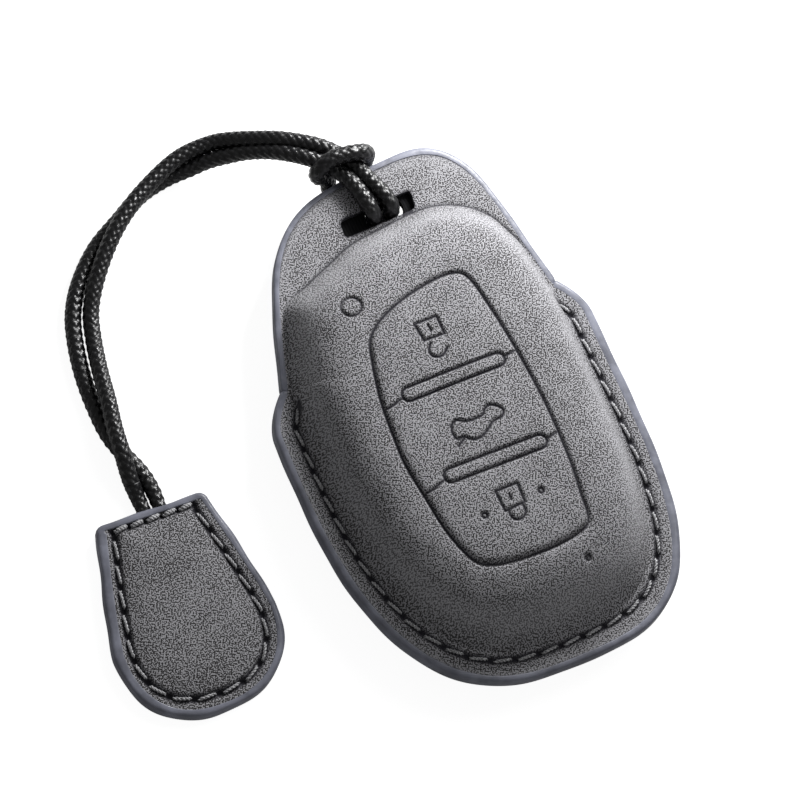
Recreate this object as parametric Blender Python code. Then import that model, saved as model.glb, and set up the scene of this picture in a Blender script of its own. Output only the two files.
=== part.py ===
"""Car key pouch: a moulded leather cover for a three-button key, with a corded pull tag.

The pouch lies on its back. X runs across it, Y runs along it toward the tab, and Z is up.
The origin is under the pouch, on the surface that it lies on. Sizes are in metres.
"""

import math

import bmesh
import bpy
from mathutils import Matrix, Vector

MM = 0.001

# Leather, lining and edge coat
SKIN = 0.8 * MM
LINING = 0.4 * MM
CLEARANCE = 0.3 * MM
COAT_WIDTH = 0.8 * MM
OVERRUN = 2.0 * MM

# Rim: the sewn edge, from the waist round the bottom. Rises and drops count from the widest line
RIM_HALF_WIDTH = 29.9 * MM
RIM_DROP = 48.9 * MM
RIM_SIDE_RISE = 5.5 * MM
RIM_CORNER_RISE = 8.6 * MM
RIM_EXPONENT = 3.0

# Waist and tab: the open end, where the key goes in
WAIST_HALF_WIDTH = 25.9 * MM
WAIST_RISE = 12.8 * MM
TIP_HALF_WIDTH = 18.4 * MM
CAP_RISE = 15.0 * MM
TAB_RISE = 43.9 * MM
TAB_ALONG_EXPONENT = 5.4
TAB_ACROSS_EXPONENT = 3.5

# Cord
CORD_DIAMETER = 2.6 * MM
CORD_HINGE_X = -12.5 * MM

# Slot in the tab, for the cord
SLOT_LENGTH = 14.2 * MM
SLOT_EASE = 0.4 * MM
SLOT_SETBACK = 7.55 * MM
SLOT_LAND = 1.15 * MM
SLOT_TURN = math.radians(0.4)

# Key form: the domes of the front and the back, inside the seam
SEAM_WIDTH = 4.0 * MM
SEAM_LEAST = 1.2 * MM
SEAM_BLEND = 40
FRONT_DEPTH = 9.6 * MM
BACK_DEPTH = 6.55 * MM
DOME_EXPONENT = 3.0

# Pull tag
TAG_SKIN = 0.9 * MM
TAG_PADDING = 0.6 * MM
TAG_CROWN = 0.5 * MM
TAG_LENGTH = 34.7 * MM
TAG_MOUTH_HALF_WIDTH = 9.0 * MM
TAG_CORNER = 0.6 * MM
TAG_HALF_WIDTH = 13.4 * MM
TAG_WIDE_DROP = 21.5 * MM
TAG_EXPONENT = 2.3
TAG_FLARE_EXPONENT = 1.2
TAG_X = -53.95 * MM
TAG_Y = 6.75 * MM
TAG_TURN = math.radians(-3.3)

# The widest line's place, and how the soft cover lies a little out of true: its ends lean to
# +X, its cross lines fan out, and the tab's end curls up toward +X
MIDDLE_Y = 2.35 * MM
LEAN = 2.305 * MM
LEAN_LENGTH = 40.0 * MM
LEAN_FROM = -10.55 * MM
FAN = 0.53 * MM
FAN_HALF_WIDTH = 30.0 * MM
FAN_LENGTH = 40.0 * MM
FAN_FROM = -2.65 * MM
CURL = 0.9 * MM
CURL_LENGTH = 40.0 * MM
CURL_EXPONENT = 6

# How far out each ring of a dome lies, and how high, from its foot to its crown
FRONT_RING_SHARES = (
    (1.00, 0.00), (0.985, 0.05), (0.955, 0.20), (0.92, 0.40),
    (0.87, 0.60), (0.80, 0.775), (0.70, 0.895), (0.50, 0.97),
)
BACK_RING_SHARES = (
    (1.00, 0.00), (0.985, 0.06), (0.955, 0.25), (0.92, 0.48),
    (0.87, 0.70), (0.80, 0.88), (0.72, 0.97), (0.66, 1.00),
)
TAG_RING_SHARES = ((0.90, 0.45), (0.72, 0.82), (0.42, 0.97))
FLAT_SHARES = ()

# Section of an edge coat: how far out, and how far up from its middle
COAT_SHARES = ((0.0, 1.0), (0.6, 0.86), (1.0, 0.35), (1.0, -0.35), (0.6, -0.86), (0.0, -1.0))

# Facets
RIM_STEPS = 13
CORNER_STEPS = 4
CAP_STEPS = 11
SLOT_STEPS = 8
TAG_CORNER_STEPS = 2
TAG_FLARE_STEPS = 4
TAG_END_STEPS = 9
CURVE_STEPS = 24
STRAND_STEP_SHARE = 2.0
KNOT_STEP_SHARE = 0.9

# Layers, outward from the plane where the front meets the back
HALF_STACK = CLEARANCE / 2 + LINING + CLEARANCE + SKIN
MIDDLE_Z = BACK_DEPTH + HALF_STACK
SLOT_WIDTH = CORD_DIAMETER + 2 * SLOT_EASE
SLOT_RISE = TAB_RISE - SLOT_SETBACK
DOME_HALF_WIDTH = RIM_HALF_WIDTH - SEAM_WIDTH
DOME_DROP = RIM_DROP - SEAM_WIDTH
DOME_RISE = SLOT_RISE - SLOT_WIDTH / 2 - SLOT_LAND
TAG_THICKNESS = 2 * TAG_SKIN + TAG_PADDING + 2 * CLEARANCE
TAG_SETBACK = CLEARANCE + COAT_WIDTH

# The cord's route in millimetres: from the left of the tag's mouth, up the slack loop and over
# the tab, down through the slot, behind the tab and round its end, over both legs, behind the
# tab again, up through the slot, and back along the loop to the right of the tag's mouth
CORD_ROUTE = (
    (-55.62, 7.16, 1.5), (-55.5, 9.7, 1.7), (-55.2, 13.0, 2.9), (-54.6, 17.4, 4.35),
    (-54.0, 21.6, 4.35), (-53.0, 26.7, 3.95), (-52.0, 32.5, 2.9), (-50.6, 38.6, 2.0),
    (-49.1, 43.3, 2.0), (-46.4, 47.7, 2.8), (-41.4, 53.4, 3.9), (-36.8, 57.3, 4.4),
    (-31.2, 60.7, 4.4), (-23.5, 63.9, 4.9), (-17.3, 64.3, 5.9), (-14.3, 63.1, 7.4),
    (-11.0, 61.2, 9.2), (-7.5, 59.0, 10.8), (-4.1, 56.5, 11.5), (-1.4, 54.1, 11.7),
    (0.9, 51.4, 11.7), (2.5, 48.9, 11.7), (3.6, 46.4, 11.7), (4.6, 43.6, 11.7),
    (5.5, 41.0, 11.55), (5.85, 39.35, 11.05), (6.0, 38.85, 9.7), (6.0, 38.9, 8.2),
    (6.0, 38.85, 6.7), (5.9, 39.35, 5.3), (5.9, 40.9, 4.8), (5.9, 44.0, 4.75),
    (6.0, 46.9, 4.8), (6.05, 48.65, 5.4), (6.05, 49.52, 6.9), (6.05, 49.65, 8.6),
    (6.05, 49.6, 10.4), (5.7, 49.4, 12.2), (4.65, 49.3, 13.85), (2.8, 49.4, 14.7),
    (0.9, 49.65, 14.85), (-1.2, 49.75, 14.8), (-3.3, 49.45, 14.2), (-4.75, 49.0, 12.5),
    (-4.6, 48.9, 10.5), (-3.6, 49.0, 8.9), (-2.95, 48.85, 7.3), (-2.6, 48.1, 5.7),
    (-2.2, 46.3, 4.85), (-1.3, 43.5, 4.75), (0.7, 40.8, 4.8),
    (2.05, 39.25, 5.3), (2.6, 38.7, 6.7), (2.7, 38.72, 8.2), (2.5, 38.7, 9.7),
    (2.2, 39.2, 11.05), (1.9, 40.8, 11.6), (1.3, 43.6, 11.8), (0.6, 46.0, 11.7),
    (-0.6, 48.4, 11.6), (-2.6, 51.0, 11.6), (-5.0, 53.4, 11.4), (-7.5, 55.4, 10.7),
    (-9.7, 57.2, 9.5), (-12.9, 59.1, 7.8), (-16.0, 60.3, 6.2), (-19.1, 61.3, 4.5),
    (-22.2, 61.7, 3.0), (-26.9, 61.9, 1.7), (-32.3, 60.7, 1.4), (-37.8, 57.7, 1.4),
    (-43.7, 54.2, 1.4), (-49.1, 48.9, 1.4), (-52.0, 44.3, 1.4), (-53.6, 39.6, 1.4),
    (-54.8, 33.4, 1.4), (-55.2, 27.3, 1.4), (-55.0, 21.8, 1.4), (-53.9, 17.5, 1.4),
    (-52.6, 13.6, 1.4), (-51.8, 9.8, 1.4), (-51.9, 6.96, 1.5),
)


def clear_scene():
    for obj in list(bpy.data.objects):
        bpy.data.objects.remove(obj)


def material(name, colour, roughness):
    made = bpy.data.materials.new(name)
    made.use_nodes = True
    shader = made.node_tree.nodes["Principled BSDF"]
    shader.inputs["Base Color"].default_value = (*colour, 1)
    shader.inputs["Roughness"].default_value = roughness
    shader.inputs["Metallic"].default_value = 0
    return made


def settle(x, y, z):
    """A point of the pouch as it lies, from its place on the true pattern."""
    lean_at = (y - LEAN_FROM) / LEAN_LENGTH
    lean_middle = (MIDDLE_Y - LEAN_FROM) / LEAN_LENGTH
    moved_x = x + LEAN * (lean_at**2 - lean_middle**2)
    fan = FAN * (y - FAN_FROM) / FAN_LENGTH
    curl = CURL * (max(y, 0.0) / CURL_LENGTH) ** CURL_EXPONENT
    return moved_x, y + (fan + curl) * moved_x / FAN_HALF_WIDTH, z


def lies_as_made(x, y, z):
    return x, y, z


def quarter(half_width, height, exponent, steps):
    """Points of a quarter superellipse, from its side to its end."""
    points = []
    for step in range(steps + 1):
        angle = math.pi / 2 * step / steps
        x = half_width * abs(math.cos(angle)) ** (2 / exponent)
        y = height * abs(math.sin(angle)) ** (2 / exponent)
        points.append((x if step < steps else 0.0, y))
    return points


def mirrored(half):
    """A closed outline, counterclockwise, from its right half, which runs from end to end."""
    return half + [(-x, y) for x, y in reversed(half[1:-1])]


def pouch_outline():
    """The leather's edge about the middle of the pouch, and the place of its waist in it."""
    side = quarter(RIM_HALF_WIDTH, RIM_DROP, RIM_EXPONENT, RIM_STEPS)
    half = [(x, -y) for x, y in reversed(side)]
    start = Vector((RIM_HALF_WIDTH, RIM_SIDE_RISE))
    corner = Vector((RIM_HALF_WIDTH, RIM_CORNER_RISE))
    waist = Vector((WAIST_HALF_WIDTH, WAIST_RISE))
    for step in range(CORNER_STEPS + 1):
        t = step / CORNER_STEPS
        half.append(tuple(start.lerp(corner, t).lerp(corner.lerp(waist, t), t)))
    waist_index = len(half) - 1
    tip = Vector((TIP_HALF_WIDTH, TAB_RISE))
    for step in range(CAP_STEPS + 1):
        angle = math.pi / 2 * step / CAP_STEPS
        y = CAP_RISE + (TAB_RISE - CAP_RISE) * math.sin(angle) ** (2 / TAB_ALONG_EXPONENT)
        side_x = waist.lerp(tip, (y - WAIST_RISE) / (TAB_RISE - WAIST_RISE)).x
        half.append((side_x * abs(math.cos(angle)) ** (2 / TAB_ACROSS_EXPONENT), y))
    half[-1] = (0.0, TAB_RISE)
    return mirrored(half), waist_index


def tag_outline():
    """The tag leather's edge: X across, and Y from the mouth (0) down to the round end."""
    mouth = TAG_MOUTH_HALF_WIDTH
    half = [(0.0, 0.0)]
    for step in range(TAG_CORNER_STEPS + 1):
        angle = math.pi / 2 * step / TAG_CORNER_STEPS
        x = mouth - TAG_CORNER * (1 - math.sin(angle))
        half.append((x, -TAG_CORNER * (1 - math.cos(angle))))
    for step in range(1, TAG_FLARE_STEPS):
        t = step / TAG_FLARE_STEPS
        x = mouth + (TAG_HALF_WIDTH - mouth) * (1 - (1 - t) ** TAG_FLARE_EXPONENT)
        half.append((x, -TAG_CORNER - (TAG_WIDE_DROP - TAG_CORNER) * t))
    end = quarter(TAG_HALF_WIDTH, TAG_LENGTH - TAG_WIDE_DROP, TAG_EXPONENT, TAG_END_STEPS)
    half += [(x, -TAG_WIDE_DROP - y) for x, y in end]
    return [(-x, y) for x, y in mirrored(half)]


def outward(outline):
    """At each point of an outline, the offset that moves both its edges out by one unit."""
    offsets = []
    for index, point in enumerate(outline):
        before = Vector(point) - Vector(outline[index - 1])
        after = Vector(outline[(index + 1) % len(outline)]) - Vector(point)
        first = Vector((before.y, -before.x)).normalized()
        second = Vector((after.y, -after.x)).normalized()
        offsets.append((first + second) / (1 + first.dot(second)))
    return offsets


def dome_foot(x, y):
    """How far the foot of a dome lies from the middle, toward this point of the edge."""
    edge = math.hypot(x, y)
    height = DOME_RISE if y > 0 else DOME_DROP
    across = (abs(x) / edge / DOME_HALF_WIDTH) ** DOME_EXPONENT
    along = (abs(y) / edge / height) ** DOME_EXPONENT
    free = (across + along) ** (-1 / DOME_EXPONENT)
    bounds = free**-SEAM_BLEND + (edge - SEAM_LEAST) ** -SEAM_BLEND
    return bounds ** (-1 / SEAM_BLEND)


def pouch_surface(outline, side, inset, depth, shares, pointed):
    """Rings of one face of a cover, from its edge inward: side is 1 in front and -1 behind."""
    level = MIDDLE_Z + side * (HALF_STACK - inset)
    rings = [[(x, y, level) for x, y in outline]]
    for reach_share, height_share in shares:
        ring = []
        for x, y in outline:
            scale = (dome_foot(x, y) - inset) * reach_share / math.hypot(x, y)
            ring.append((x * scale, y * scale, level + side * depth * height_share))
        rings.append(ring)
    if pointed:
        rings.append([(0.0, 0.0, level + side * depth)])
    return rings


def tag_surface(outline, level, crown, shares):
    """Rings of one face of a tag layer, from its edge inward."""
    rings = [[(x, y, level) for x, y in outline]]
    for reach_share, height_share in shares:
        rings.append([
            (x * reach_share, middle_out(y, reach_share), level + crown * height_share)
            for x, y in outline
        ])
    if shares:
        rings.append([(0.0, -TAG_LENGTH / 2, level + crown)])
    return rings


def middle_out(y, share):
    """A place along the tag, drawn toward the tag's middle."""
    return -TAG_LENGTH / 2 + (y + TAG_LENGTH / 2) * share


def add_face_bands(mesh, rings):
    """Faces between rings of one surface. The last ring is closed by one face or by a fan."""
    for outer, inner in zip(rings, rings[1:]):
        for index, corner in enumerate(outer):
            following = (index + 1) % len(outer)
            if len(inner) == 1:
                mesh.faces.new((corner, outer[following], inner[0]))
            else:
                mesh.faces.new((corner, outer[following], inner[following], inner[index]))
    if len(rings[-1]) > 1:
        mesh.faces.new(rings[-1])


def finish_mesh(mesh, name, look, parent, sharp_angle):
    """Closes a bmesh into an object with its faces pointing out, and keeps it in place."""
    bmesh.ops.recalc_face_normals(mesh, faces=mesh.faces)
    data = bpy.data.meshes.new(name)
    mesh.to_mesh(data)
    mesh.free()
    data.shade_smooth()
    data.set_sharp_from_angle(angle=sharp_angle)
    data.materials.append(look)
    obj = bpy.data.objects.new(name, data)
    bpy.context.scene.collection.objects.link(obj)
    if parent:
        obj.parent = parent
        obj.matrix_parent_inverse = parent.matrix_world.inverted()
    return obj


def add_sheet(name, top, bottom, place, look, parent=None):
    """A thin sheet between two surfaces whose first rings run round the same edge."""
    mesh = bmesh.new()
    made = []
    for rings in (top, bottom):
        made.append([[mesh.verts.new(place(*point)) for point in ring] for ring in rings])
    for rings in made:
        add_face_bands(mesh, rings)
    upper, lower = made[0][0], made[1][0]
    for index in range(len(upper)):
        following = (index + 1) % len(upper)
        mesh.faces.new((upper[index], upper[following], lower[following], lower[index]))
    return finish_mesh(mesh, name, look, parent, math.radians(35))


def add_coat(name, sections, is_loop, place, look, parent=None):
    """A rounded edge coat, swept through its sections. One that isn't a loop has flat ends."""
    mesh = bmesh.new()
    rings = [[mesh.verts.new(place(*point)) for point in section] for section in sections]
    pairs = list(zip(rings, rings[1:]))
    if is_loop:
        pairs.append((rings[-1], rings[0]))
    else:
        mesh.faces.new(rings[0])
        mesh.faces.new(rings[-1])
    for first, second in pairs:
        for index in range(len(first)):
            following = (index + 1) % len(first)
            mesh.faces.new((first[index], first[following], second[following], second[index]))
    return finish_mesh(mesh, name, look, parent, math.radians(50))


def coat_sections(outline, indices, middle, half_height, shift_y=0.0):
    """Sections of an edge coat at these points of an outline."""
    offsets = outward(outline)
    sections = []
    for index in indices:
        x, y = outline[index]
        section = []
        for out_share, up_share in COAT_SHARES:
            move = offsets[index] * (CLEARANCE + COAT_WIDTH * out_share)
            section.append((x + move.x, y + move.y + shift_y, middle + half_height * up_share))
        sections.append(section)
    return sections


def part_ends(sections):
    """Draws the two ends of an open coat back along it, so that it clears its neighbour."""
    for end, inner in ((0, 1), (-1, -2)):
        run = Vector(sections[inner][0]) - Vector(sections[end][0])
        step = run.normalized() * CLEARANCE
        sections[end] = [tuple(Vector(point) + step) for point in sections[end]]
    return sections


def smooth_curve(points):
    """A centripetal Catmull-Rom curve through the points."""
    ends = [2 * points[0] - points[1], *points, 2 * points[-1] - points[-2]]
    curve = [points[0]]
    for before, start, end, after in zip(ends, ends[1:], ends[2:], ends[3:]):
        t1 = (start - before).length ** 0.5
        t2 = t1 + (end - start).length ** 0.5
        t3 = t2 + (after - end).length ** 0.5
        for step in range(1, CURVE_STEPS + 1):
            t = t1 + (t2 - t1) * step / CURVE_STEPS
            a1 = before.lerp(start, t / t1)
            a2 = start.lerp(end, (t - t1) / (t2 - t1))
            a3 = end.lerp(after, (t - t2) / (t3 - t2))
            b1 = a1.lerp(a2, t / t2)
            b2 = a2.lerp(a3, (t - t1) / (t3 - t1))
            curve.append(b1.lerp(b2, (t - t1) / (t2 - t1)))
    return curve


def lengths_along(curve):
    """How far along the curve each of its points lies."""
    lengths = [0.0]
    for start, end in zip(curve, curve[1:]):
        lengths.append(lengths[-1] + (end - start).length)
    return lengths


def crossings(curve, lengths, x):
    """How far along the curve it passes this X."""
    found = []
    for index in range(len(curve) - 1):
        here, there = curve[index].x - x, curve[index + 1].x - x
        if here * there < 0:
            step = lengths[index + 1] - lengths[index]
            found.append(lengths[index] + step * here / (here - there))
    return found


def stretch(curve, lengths, start, end, spacing):
    """Evenly spaced points of the curve between two lengths along it."""
    steps = math.ceil((end - start) / spacing)
    points = []
    index = 0
    for step in range(steps + 1):
        target = start + (end - start) * step / steps
        while index < len(lengths) - 2 and lengths[index + 1] < target:
            index += 1
        share = (target - lengths[index]) / (lengths[index + 1] - lengths[index])
        points.append(curve[index].lerp(curve[index + 1], share))
    return points


def add_tube(name, points, look, parent=None):
    """A cord as a curve with a round bevel and filled caps."""
    data = bpy.data.curves.new(name, "CURVE")
    data.dimensions = "3D"
    data.bevel_depth = CORD_DIAMETER / 2
    data.bevel_resolution = 2
    data.use_fill_caps = True
    spline = data.splines.new("POLY")
    spline.points.add(len(points) - 1)
    for made, point in zip(spline.points, points):
        made.co = (*point, 1)
    spline.use_smooth = True
    data.materials.append(look)
    obj = bpy.data.objects.new(name, data)
    bpy.context.scene.collection.objects.link(obj)
    if parent:
        obj.parent = parent
        obj.matrix_parent_inverse = parent.matrix_world.inverted()
    return obj


def add_axis(name, place, turn, parent=None):
    """An empty on a joint's axis, which carries the pieces that move on it."""
    empty = bpy.data.objects.new(name, None)
    empty.empty_display_size = CORD_DIAMETER
    bpy.context.scene.collection.objects.link(empty)
    if parent:
        empty.parent = parent
        empty.matrix_parent_inverse = parent.matrix_world.inverted()
    empty.location = place
    empty.rotation_euler = (0, 0, turn)
    bpy.context.view_layer.update()
    return empty


def add_slot_cutter():
    """A stadium through the whole tab, which cuts the slot."""
    radius = SLOT_WIDTH / 2
    outline = []
    for side in (1, -1):
        for step in range(SLOT_STEPS + 1):
            angle = math.pi * (step / SLOT_STEPS - 1 / 2)
            x = side * (SLOT_LENGTH / 2 - radius + radius * math.cos(angle))
            outline.append(Vector((x, side * radius * math.sin(angle))))
    turned = [Matrix.Rotation(SLOT_TURN, 2) @ point for point in outline]
    shift = SLOT_RISE + MIDDLE_Y
    reach = HALF_STACK + OVERRUN
    top = [[(point.x, point.y + shift, MIDDLE_Z + reach) for point in turned]]
    bottom = [[(point.x, point.y + shift, MIDDLE_Z - reach) for point in turned]]
    cutter = add_sheet("slot_cutter", top, bottom, settle, material("cutter", (1, 0, 0), 1))
    cutter.hide_render = True
    cutter.display_type = "WIRE"
    return cutter


def add_pouch(looks):
    """Front and back covers, each a leather skin over a lining, and their edge coats."""
    outline, waist = pouch_outline()
    cutter = add_slot_cutter()

    def place(x, y, z):
        return settle(x, y + MIDDLE_Y, z)

    sides = (
        ("front", 1, FRONT_DEPTH, FRONT_RING_SHARES, True),
        ("back", -1, BACK_DEPTH, BACK_RING_SHARES, False),
    )
    layers = (("cover", 0.0, SKIN), ("lining", SKIN + CLEARANCE, LINING))
    for side_name, side, depth, shares, pointed in sides:
        for layer_name, inset, thickness in layers:
            outer = pouch_surface(outline, side, inset, depth, shares, pointed)
            inner = pouch_surface(outline, side, inset + thickness, depth, shares, pointed)
            sheet = add_sheet(f"{side_name}_{layer_name}", outer, inner, place, looks[layer_name])
            cut = sheet.modifiers.new("slot", "BOOLEAN")
            cut.operation = "DIFFERENCE"
            cut.solver = "EXACT"
            cut.object = cutter
    count = len(outline)
    rim = [(count - waist + step) % count for step in range(2 * waist + 1)]
    tab = list(range(waist, count - waist + 1))
    sections = part_ends(coat_sections(outline, rim, MIDDLE_Z, HALF_STACK))
    add_coat("rim_edge_coat", sections, False, place, looks["coat"])
    half_height = (HALF_STACK - CLEARANCE / 2) / 2
    for side_name, side, *_ in sides:
        middle = MIDDLE_Z + side * (HALF_STACK - half_height)
        sections = part_ends(coat_sections(outline, tab, middle, half_height))
        add_coat(f"{side_name}_tab_edge_coat", sections, False, place, looks["coat"])


def add_cord(looks, loop):
    """One cord in three lengths: the knot on the tab, and the two strands of the slack loop."""
    curve = smooth_curve([Vector(point) * MM for point in CORD_ROUTE])
    lengths = lengths_along(curve)
    passes = crossings(curve, lengths, CORD_HINGE_X)
    left_end, right_start = passes[0], passes[-1]
    strand = STRAND_STEP_SHARE * CORD_DIAMETER
    knot = KNOT_STEP_SHARE * CORD_DIAMETER
    gap = CLEARANCE / 2
    left = stretch(curve, lengths, 0.0, left_end - gap, strand)
    tied = stretch(curve, lengths, left_end + gap, right_start - gap, knot)
    right = stretch(curve, lengths, right_start + gap, lengths[-1], strand)
    add_tube("cord_left_strand", left, looks["cord"], loop)
    add_tube("cord_knot", tied, looks["cord"])
    add_tube("cord_right_strand", right, looks["cord"], loop)


def add_tag(looks, swing):
    """The pull tag: two leathers over a padding, with one edge coat all round."""
    outline = tag_outline()
    turn = Matrix.Rotation(TAG_TURN, 3, "Z")
    mouth = Vector((TAG_X, TAG_Y, 0))

    def place(x, y, z):
        return tuple(turn @ Vector((x, y - TAG_SETBACK, z)) + mouth)

    level = 0.0
    layers = (
        ("tag_back", TAG_SKIN, 0.0, 0.0, looks["cover"]),
        ("tag_padding", TAG_PADDING, 0.0, TAG_CROWN, looks["padding"]),
        ("tag_front", TAG_SKIN, TAG_CROWN, TAG_CROWN, looks["cover"]),
    )
    for name, thickness, crown_below, crown_above, look in layers:
        below_shares = TAG_RING_SHARES if crown_below else FLAT_SHARES
        above_shares = TAG_RING_SHARES if crown_above else FLAT_SHARES
        top = tag_surface(outline, level + thickness, crown_above, above_shares)
        bottom = tag_surface(outline, level, crown_below, below_shares)
        add_sheet(name, top, bottom, place, look, swing)
        level += thickness + CLEARANCE
    middle = TAG_THICKNESS / 2
    sections = coat_sections(outline, range(len(outline)), middle, middle)
    add_coat("tag_edge_coat", sections, True, place, looks["coat"], swing)


def main():
    clear_scene()
    looks = {
        "cover": material("grey suede", (0.16, 0.165, 0.175), 0.85),
        "lining": material("black lining", (0.03, 0.03, 0.033), 0.8),
        "coat": material("grey edge coat", (0.15, 0.16, 0.18), 0.45),
        "cord": material("black waxed cord", (0.012, 0.012, 0.014), 0.3),
        "padding": material("tag padding", (0.1, 0.1, 0.1), 0.9),
    }
    hinge_top = max(point[2] for point in CORD_ROUTE[15:17]) * MM + CORD_DIAMETER / 2
    loop = add_axis("loop_axis", (CORD_HINGE_X, 0, hinge_top), 0)
    swing_place = (TAG_X, TAG_Y, TAG_THICKNESS)
    swing = add_axis("tag_axis", swing_place, TAG_TURN, loop)
    add_pouch(looks)
    add_cord(looks, loop)
    add_tag(looks, swing)


main()
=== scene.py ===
"""Dresses the car key pouch: suede covers, edge coats, seams, braided cord, pull tag and studio.

It is laid out as an add-on with one operator for each kind of piece. Sizes are in metres, apart
from those that a comment gives in millimetres.
X runs across the pouch, Y runs along it toward the tab, and Z is up.
"""

import math
from collections import namedtuple

import bmesh
import bpy
import numpy as np
from bpy.props import FloatProperty, FloatVectorProperty, IntProperty, PointerProperty
from mathutils import Matrix, Vector


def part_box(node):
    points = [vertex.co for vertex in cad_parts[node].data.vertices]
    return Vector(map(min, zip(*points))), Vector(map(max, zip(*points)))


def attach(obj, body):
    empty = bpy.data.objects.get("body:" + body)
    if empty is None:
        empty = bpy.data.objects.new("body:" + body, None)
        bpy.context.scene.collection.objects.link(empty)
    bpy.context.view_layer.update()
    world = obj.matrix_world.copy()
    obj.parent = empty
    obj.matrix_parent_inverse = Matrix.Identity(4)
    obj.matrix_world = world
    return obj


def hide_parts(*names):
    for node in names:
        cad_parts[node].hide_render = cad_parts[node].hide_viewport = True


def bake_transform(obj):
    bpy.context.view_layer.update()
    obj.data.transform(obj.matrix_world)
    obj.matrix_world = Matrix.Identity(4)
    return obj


bl_info = {
    "name": "Key Pouch Dresser",
    "version": (1, 0, 0),
    "blender": (4, 5, 0),
    "location": "3D View > Sidebar > Key Pouch",
    "description": "Makes the suede, seams, edge coats, cord and tag of a car key pouch",
    "category": "Object",
}

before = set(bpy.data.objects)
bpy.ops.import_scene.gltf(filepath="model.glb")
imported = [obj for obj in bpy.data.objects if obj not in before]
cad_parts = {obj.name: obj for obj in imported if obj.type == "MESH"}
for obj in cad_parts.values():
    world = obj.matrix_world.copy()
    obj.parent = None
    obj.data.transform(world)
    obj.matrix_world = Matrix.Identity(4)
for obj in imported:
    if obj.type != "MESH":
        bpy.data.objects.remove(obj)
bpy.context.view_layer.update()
MM = 0.001


def heights(node):
    """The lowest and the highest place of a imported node."""
    low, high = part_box(node)
    return low[2], high[2]


FRONT_TOP = heights("front_cover")[1]
FRONT_LEVEL = heights("front_tab_edge_coat")[1]
BACK_LEVEL = heights("back_tab_edge_coat")[0]
BACK_BOTTOM = heights("back_cover")[0]
TAG_TOP = heights("tag_edge_coat")[1]


def length_setting(name, description, millimetres):
    """A length for the sidebar."""
    return FloatProperty(name=name, description=description, default=millimetres * MM,
                         unit="LENGTH", precision=5)


def colour_setting(name, description, colour):
    """A colour for the sidebar."""
    return FloatVectorProperty(name=name, description=description, default=colour,
                               subtype="COLOR", min=0, max=1)


def light_setting(name, description, strength):
    """A strength of light for the sidebar."""
    return FloatProperty(name=name, description=description, default=strength, min=0)


class PouchSizes(bpy.types.PropertyGroup):
    """Sizes of the moulded pouch, on its true pattern."""

    rim_half_width: length_setting(
        "Rim half width", "From the middle to the cut edge at the widest line", 29.9)
    rim_drop: length_setting("Rim drop", "From the widest line to the bottom edge", 48.9)
    waist_half_width: length_setting(
        "Waist half width", "Half the width where the sewn rim ends", 25.9)
    waist_rise: length_setting("Waist rise", "From the widest line up to the waist", 12.8)
    tip_half_width: length_setting(
        "Tip half width", "Where the tab's sides would end, run straight on", 18.4)
    cap_rise: length_setting(
        "Cap rise", "From the widest line up to where the tab rounds in", 15.0)
    tab_rise: length_setting("Tab rise", "From the widest line up to the tab's edge", 43.9)
    seam_width: length_setting(
        "Seam width", "From the cut edge to the foot of the moulded form", 4.0)
    dome_rise: length_setting(
        "Form rise", "From the widest line up to the foot below the slot", 33.5)
    slot_rise: length_setting(
        "Slot rise", "From the widest line up to the middle of the slot", 36.35)
    slot_length: length_setting("Slot length", "End to end", 14.2)
    slot_width: length_setting("Slot width", "Across the slot", 3.4)
    skin: length_setting("Leather thickness", "Of the covers", 0.8)
    lining: length_setting("Lining thickness", "Of the knit inside", 0.4)
    ply_gap: length_setting("Gap between plies", "Between leather and lining", 0.3)
    coat_reach: length_setting(
        "Edge coat reach", "How far the coat stands out from the cut edge", 1.1)
    stations: IntProperty(
        name="Points round the edge", description="Fineness of the front cover", default=880,
        min=120)


class SeamSizes(bpy.types.PropertyGroup):
    """Sizes of the hand-sewn seams."""

    pitch: length_setting("Stitch pitch", "From hole to hole", 4.2)
    thread: length_setting("Thread diameter", "Of the twisted pair of plies", 0.61)
    rim_inset: length_setting(
        "Rim seam inset", "From the cut edge of the pouch to its seam", 2.95)
    tag_inset: length_setting("Tag seam inset", "From the cut edge of the tag to its seam", 2.0)
    groove: length_setting("Groove depth", "How deep the seams pull the leather in", 0.35)


class CordSizes(bpy.types.PropertyGroup):
    """Sizes of the braided cord."""

    diameter: length_setting("Diameter", "Of the cord's core", 2.6)
    braid_pitch: length_setting("Braid pitch", "Length of one scale of the braid", 1.46)
    carriers: IntProperty(
        name="Scales round the cord", description="Columns of scales", default=6, min=4)
    relief: length_setting("Braid relief", "Height of a scale", 0.26)


class TagSizes(bpy.types.PropertyGroup):
    """Sizes of the pull tag's leather."""

    length: length_setting("Length", "From the mouth to the round end", 34.7)
    mouth_half_width: length_setting(
        "Mouth half width", "Half the width where the cord goes in", 9.0)
    half_width: length_setting("Half width", "At the widest line", 13.4)
    wide_drop: length_setting("Widest line", "How far below the mouth it lies", 21.5)
    crown: length_setting("Crown", "How far the padding lifts the middle", 0.75)


class Finishes(bpy.types.PropertyGroup):
    """Colours of the materials."""

    suede_light: colour_setting("Suede, light", "Raised nap of the leather", (0.46, 0.457, 0.482))
    suede_dark: colour_setting("Suede, dark", "Speckle of the leather", (0.045, 0.043, 0.044))
    coat: colour_setting("Edge coat", "Paint on the cut edges", (0.235, 0.243, 0.295))
    cord: colour_setting("Cord", "Waxed braid", (0.009, 0.009, 0.010))
    thread: colour_setting("Thread", "Twisted sewing thread", (0.26, 0.26, 0.268))
    lining: colour_setting("Lining", "Black knit", (0.008, 0.008, 0.009))


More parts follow.
